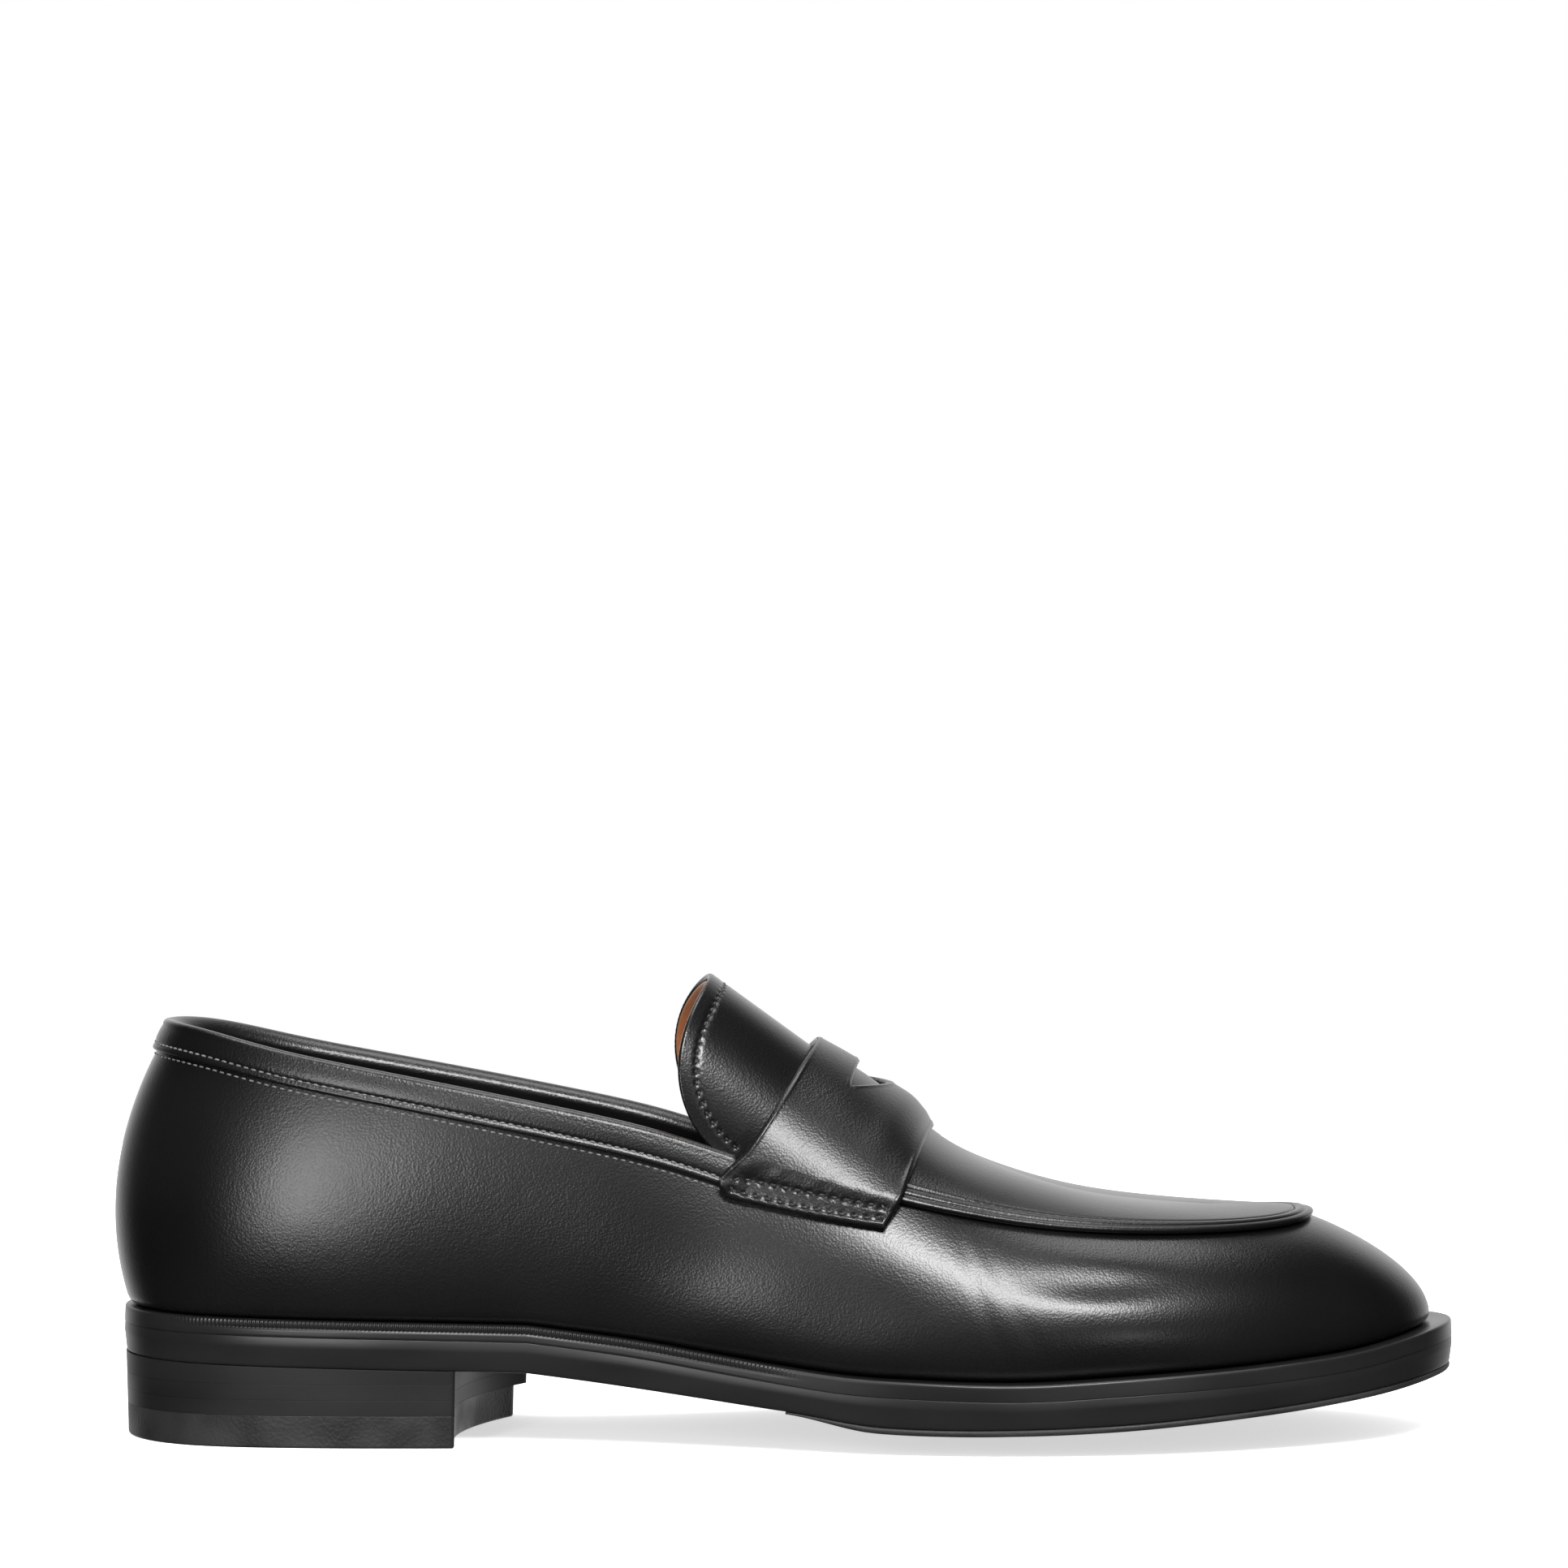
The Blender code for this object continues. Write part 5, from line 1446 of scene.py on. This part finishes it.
def heelOutline(cornerCut):
    # from the back centre along the outer side, across the hollow breast, and back along the inner side
    fold = np.linspace(0.0, toeStation, 1600)
    lateral, medial = [edgePoint(s, (soleMargin(s) - heel["inset"])[:, None])[:, 0, :2]
                       for s in (fold, fullTurn - fold)]
    start, end = [np.array([x, np.interp(x, side[:, 0], side[:, 1])])
                  for x, side in ((heel["breastLateral"], lateral), (heel["breastMedial"], medial))]
    t = np.linspace(0.0, 1.0, 120)[:, None]
    bow = np.column_stack([4.0 * t * (1.0 - t), 0.0 * t]) * heel["hollow"]
    breast = start + (end - start) * t - bow
    if cornerCut:
        breast = breast[np.linalg.norm(breast - end, axis=1) > cornerCut]
        end = end - np.array([cornerCut, 0.0])
    outer = lateral[lateral[:, 0] < start[0]]
    inner = medial[medial[:, 0] < end[0]][::-1]
    outline = np.concatenate([outer, breast[1:-1], inner[:-1]])
    closed = np.concatenate([outline, outline[:1]])
    length = walked(closed)
    place = np.linspace(0.0, length[-1], 481)[:-1]
    even = np.stack([np.interp(place, length, closed[:, k]) for k in range(2)], axis=-1)
    for _ in range(4):
        even = 0.25 * np.roll(even, 1, axis=0) + 0.5 * even + 0.25 * np.roll(even, -1, axis=0)
    return even


def liftBlock(outline, low, high, lowRadius, highRadius):
    # closed block: middle of the underside, rounded edge, side, rounded edge, middle of the top
    ahead = np.roll(outline, -1, axis=0) - np.roll(outline, 1, axis=0)
    out = np.stack([ahead[:, 1], -ahead[:, 0]], axis=-1)
    out /= np.linalg.norm(out, axis=1, keepdims=True)
    turn = np.linspace(0.0, 0.5 * np.pi, 5)
    lowTurn, highTurn = 1.0 - np.sin(turn), 1.0 - np.cos(turn)
    insets = np.concatenate([lowRadius * lowTurn[[0, 0]], lowRadius * lowTurn, [0.0, 0.0],
                             highRadius * highTurn, highRadius * highTurn[[-1, -1]]])
    rises = np.concatenate([[0.0, 0.0], lowRadius * highTurn, [lowRadius + 0.1, -highRadius - 0.1],
                            -highRadius * lowTurn, [0.0, 0.0]])
    spread = np.concatenate([[0.7, 0.97], np.ones(12), [0.97, 0.7]])
    fromTop = np.concatenate([np.zeros(8), np.ones(8)])
    middle = np.array([heel["centre"], 0.0])
    rim = outline[:, None] - out[:, None] * insets[None, :, None]
    rim = middle + (rim - middle) * spread[None, :, None]
    heights = np.where(fromTop[None] > 0.5, high(rim[..., 0]), low) + rises
    taper = 1.0 - heel["taper"] * np.clip(1.0 - heights / heel["taperFrom"], 0.0, 1.0)
    rim = middle + (rim - middle) * taper[..., None]
    grid = np.concatenate([rim, heights[..., None]], axis=-1)
    bottomPole, topPole = [np.broadcast_to([*middle, z], (len(outline), 1, 3))
                           for z in (low, float(high(middle[0])))]
    grid = toFrame(np.concatenate([bottomPole, grid, topPole], axis=1))
    return weldFaces(grid.reshape(-1, 3), gridFaces(*grid.shape[:2], wrap=True))


def pinShape(radius, low, high, dome, sides=20):
    # turned pin: domed foot, straight shank, flat head
    arcs = np.linspace(0.0, 0.5 * np.pi, 5)
    r = np.concatenate([radius * np.sin(arcs), [radius, 0.0]])
    z = np.concatenate([low + dome * (1.0 - np.sin(arcs) ** 2), [high, high]])
    turn = np.arange(sides) * 2.0 * np.pi / sides
    x, y = r[None] * np.cos(turn)[:, None], r[None] * np.sin(turn)[:, None]
    return np.stack([x, y, np.broadcast_to(z, x.shape)], axis=-1)


def pinSet(size):
    # the same pin at each place
    points, faces, first = [], [], 0
    for x, y in heel["pins"]:
        grid = pinShape(*size) + np.array([x, y, 0.0])
        points.append(toFrame(grid).reshape(-1, 3))
        faces.append(gridFaces(*grid.shape[:2], first, True))
        first += len(points[-1])
    return weldFaces(np.concatenate(points), np.concatenate(faces))


def drillPins(piece, cutter):
    # clearance holes through a lift, cut with the exact solver and kept in its mesh
    modifier = piece.modifiers.new("pinHoles", "BOOLEAN")
    modifier.operation, modifier.solver, modifier.object = "DIFFERENCE", "EXACT", cutter
    bpy.context.view_layer.update()
    solved = piece.evaluated_get(bpy.context.evaluated_depsgraph_get())
    drilled = bpy.data.meshes.new_from_object(solved)
    piece.modifiers.clear()
    piece.data = drilled
    drilled.set_sharp_from_angle(angle=math.radians(40.0))


def makeHeel():
    # rubber top piece, two even lifts and a wedge up to the sole, all on five pins
    cutter = addPiece("pinCutter", *pinSet(heel["holeSize"]), pinBrass, None)
    layers = [("rubberTopPiece", "top_piece", heelRubber, "heel_rubber", heel["topPiece"]),
              ("heelLiftOne", "heel_lift_1", liftWax, "sole_edge_leather", heel["lift"]),
              ("heelLiftTwo", "heel_lift_2", liftWax, "sole_edge_leather", heel["lift"]),
              ("heelLiftWedge", "heel_lift_3", liftWax, "sole_edge_leather", None)]
    low = 0.0
    for name, node, finish, slot, thickness in layers:
        ground = low == 0.0
        level = (lambda x, z=low + thickness: z + 0.0 * x) if thickness else outsoleHeight
        top = lambda x, level=level: level(x) - heel["hairline"]
        radii = [heel[key] for key in (("soleRadius", "topPieceRadius") if ground
                                       else ("edgeRadius", "edgeRadius"))]
        points, faces = liftBlock(heelOutline(heel["cornerCut"] if ground else 0.0), low, top, *radii)
        drillPins(addPiece(name, points, faces, finish, "shoe", [node], slot), cutter)
        low += thickness or 0.0
    bpy.data.objects.remove(cutter)
    pinNodes = [f"heel_pin_{k}" for k in range(1, 6)]
    addPiece("heelPins", *pinSet(heel["pinSize"]), pinBrass, "shoe", pinNodes, "brass_pin")


makeLinings()
makeWelt()
makeOutsole()
makeHalfSole()
makeSock()
makeHeelCushion()
makeHeel()
print("sole and heel ready")

# parts inside the shoe keep their shape and take their own finish
insideFinishes = {
    "heel_counter": stiffBoard, "toe_puff": stiffBoard, "insole_board": insoleLeather,
    "waist_filler": insoleLeather, "cork_filler": corkSheet, "shank": shankSteel,
}
for node, finish in insideFinishes.items():
    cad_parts[node].data.materials.clear()
    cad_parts[node].data.materials.append(finish)
print("inside parts finished")


studio = {
    "camera": (0.0, -1.250, 0.1658),
    "pitch": 0.863,          # degrees below level
    "lens": 126.2,
    "sensor": 36.0,
    "paper": (0.80, 0.80, 0.80),
    "glow": 0.60,            # light table under the paper
    "ambient": 1.0,          # soft light all round, for matt surfaces
    "paperReach": (0.85, 0.26, 0.85),   # to each side, to the front and to the back
    "front": 0.016,          # room brightness in front of the shoe
    "behind": 1.30,          # and behind it
    "turnOver": (0.45, 0.98),           # it changes between these depths of view
    "boxes": (               # place, aim, width and height, watts
        ("lowFront", (-0.178, -0.33, 0.112), (-0.10, -0.03, 0.055), (0.05, 0.12), 0.42),
        ("highFront", (0.15, -0.93, 0.93), (0.04, -0.04, 0.04), (0.46, 0.34), 24.0),
        ("lowRight", (0.50, -1.30, 0.13), (0.08, -0.04, 0.01), (0.24, 0.12), 0.8),
        ("overhead", (0.0, 0.20, 1.45), (0.0, 0.0, 0.0), (1.00, 0.80), 14.0),
    ),
}


def softBox(name, place, target, size, power):
    # a glowing rectangle turned to face its aim
    light = bpy.data.lights.new(name, "AREA")
    light.shape = "RECTANGLE"
    light.size, light.size_y = size
    light.energy = power
    lamp = bpy.data.objects.new(name, light)
    lamp.location = place
    lamp.rotation_euler = (Vector(target) - Vector(place)).to_track_quat("-Z", "Y").to_euler()
    lamp.visible_camera = False
    bpy.context.collection.objects.link(lamp)


def makeRoom():
    # white beyond the paper, dim in front so that black leather keeps its depth
    world = bpy.data.worlds.new("room")
    bpy.context.scene.world = world
    world.use_nodes = True
    direction = addNode(world, "ShaderNodeTexCoord")
    axes = addNode(world, "ShaderNodeSeparateXYZ", [("Vector", direction.outputs["Generated"])])
    start, end = studio["turnOver"]
    depth = addNode(world, "ShaderNodeMapRange", [("Value", axes.outputs["Y"])],
                    interpolation_type="SMOOTHSTEP",
                    **{"From Min": start, "From Max": end, "To Min": studio["front"],
                       "To Max": studio["behind"]})
    seen = addNode(world, "ShaderNodeLightPath")
    plain = addNode(world, "ShaderNodeMath", [(0, seen.outputs["Is Camera Ray"]),
                                              (1, seen.outputs["Is Diffuse Ray"])], operation="MAXIMUM")
    choose = addNode(world, "ShaderNodeMix", [("Factor", plain.outputs["Value"]),
                                              ("A", depth.outputs["Result"])], B=studio["ambient"])
    background = world.node_tree.nodes["Background"]
    background.inputs["Color"].default_value = (1.0, 1.0, 1.0, 1.0)
    world.node_tree.links.new(choose.outputs["Result"], background.inputs["Strength"])


def makeStudio():
    # long lens level with the shoe, on an oval of lit paper
    cameraData = bpy.data.cameras.new("camera")
    cameraData.lens = studio["lens"]
    cameraData.sensor_width = studio["sensor"]
    camera = bpy.data.objects.new("camera", cameraData)
    camera.location = studio["camera"]
    camera.rotation_euler = (math.radians(90.0 - studio["pitch"]), 0.0, 0.0)
    bpy.context.collection.objects.link(camera)
    bpy.context.scene.camera = camera
    paper = newFinish("whitePaper", studio["paper"], 0.95, Specular_IOR_Level=0.1,
                      Emission_Color=(1.0, 1.0, 1.0, 1.0), Emission_Strength=studio["glow"])
    turn = np.linspace(0.0, 2.0 * np.pi, 97)[:-1]
    aside, ahead, behind = studio["paperReach"]
    deep = np.where(np.sin(turn) < 0.0, ahead, behind)
    rim = np.stack([aside * np.cos(turn), deep * np.sin(turn), 0.0 * turn], axis=-1)
    floor = addPiece("floor", rim, [tuple(range(len(rim)))], paper, None)
    floor.visible_glossy = False
    for box in studio["boxes"]:
        softBox(*box)
    makeRoom()
    bpy.context.scene.view_settings.view_transform = "Standard"


makeStudio()
print("studio ready")
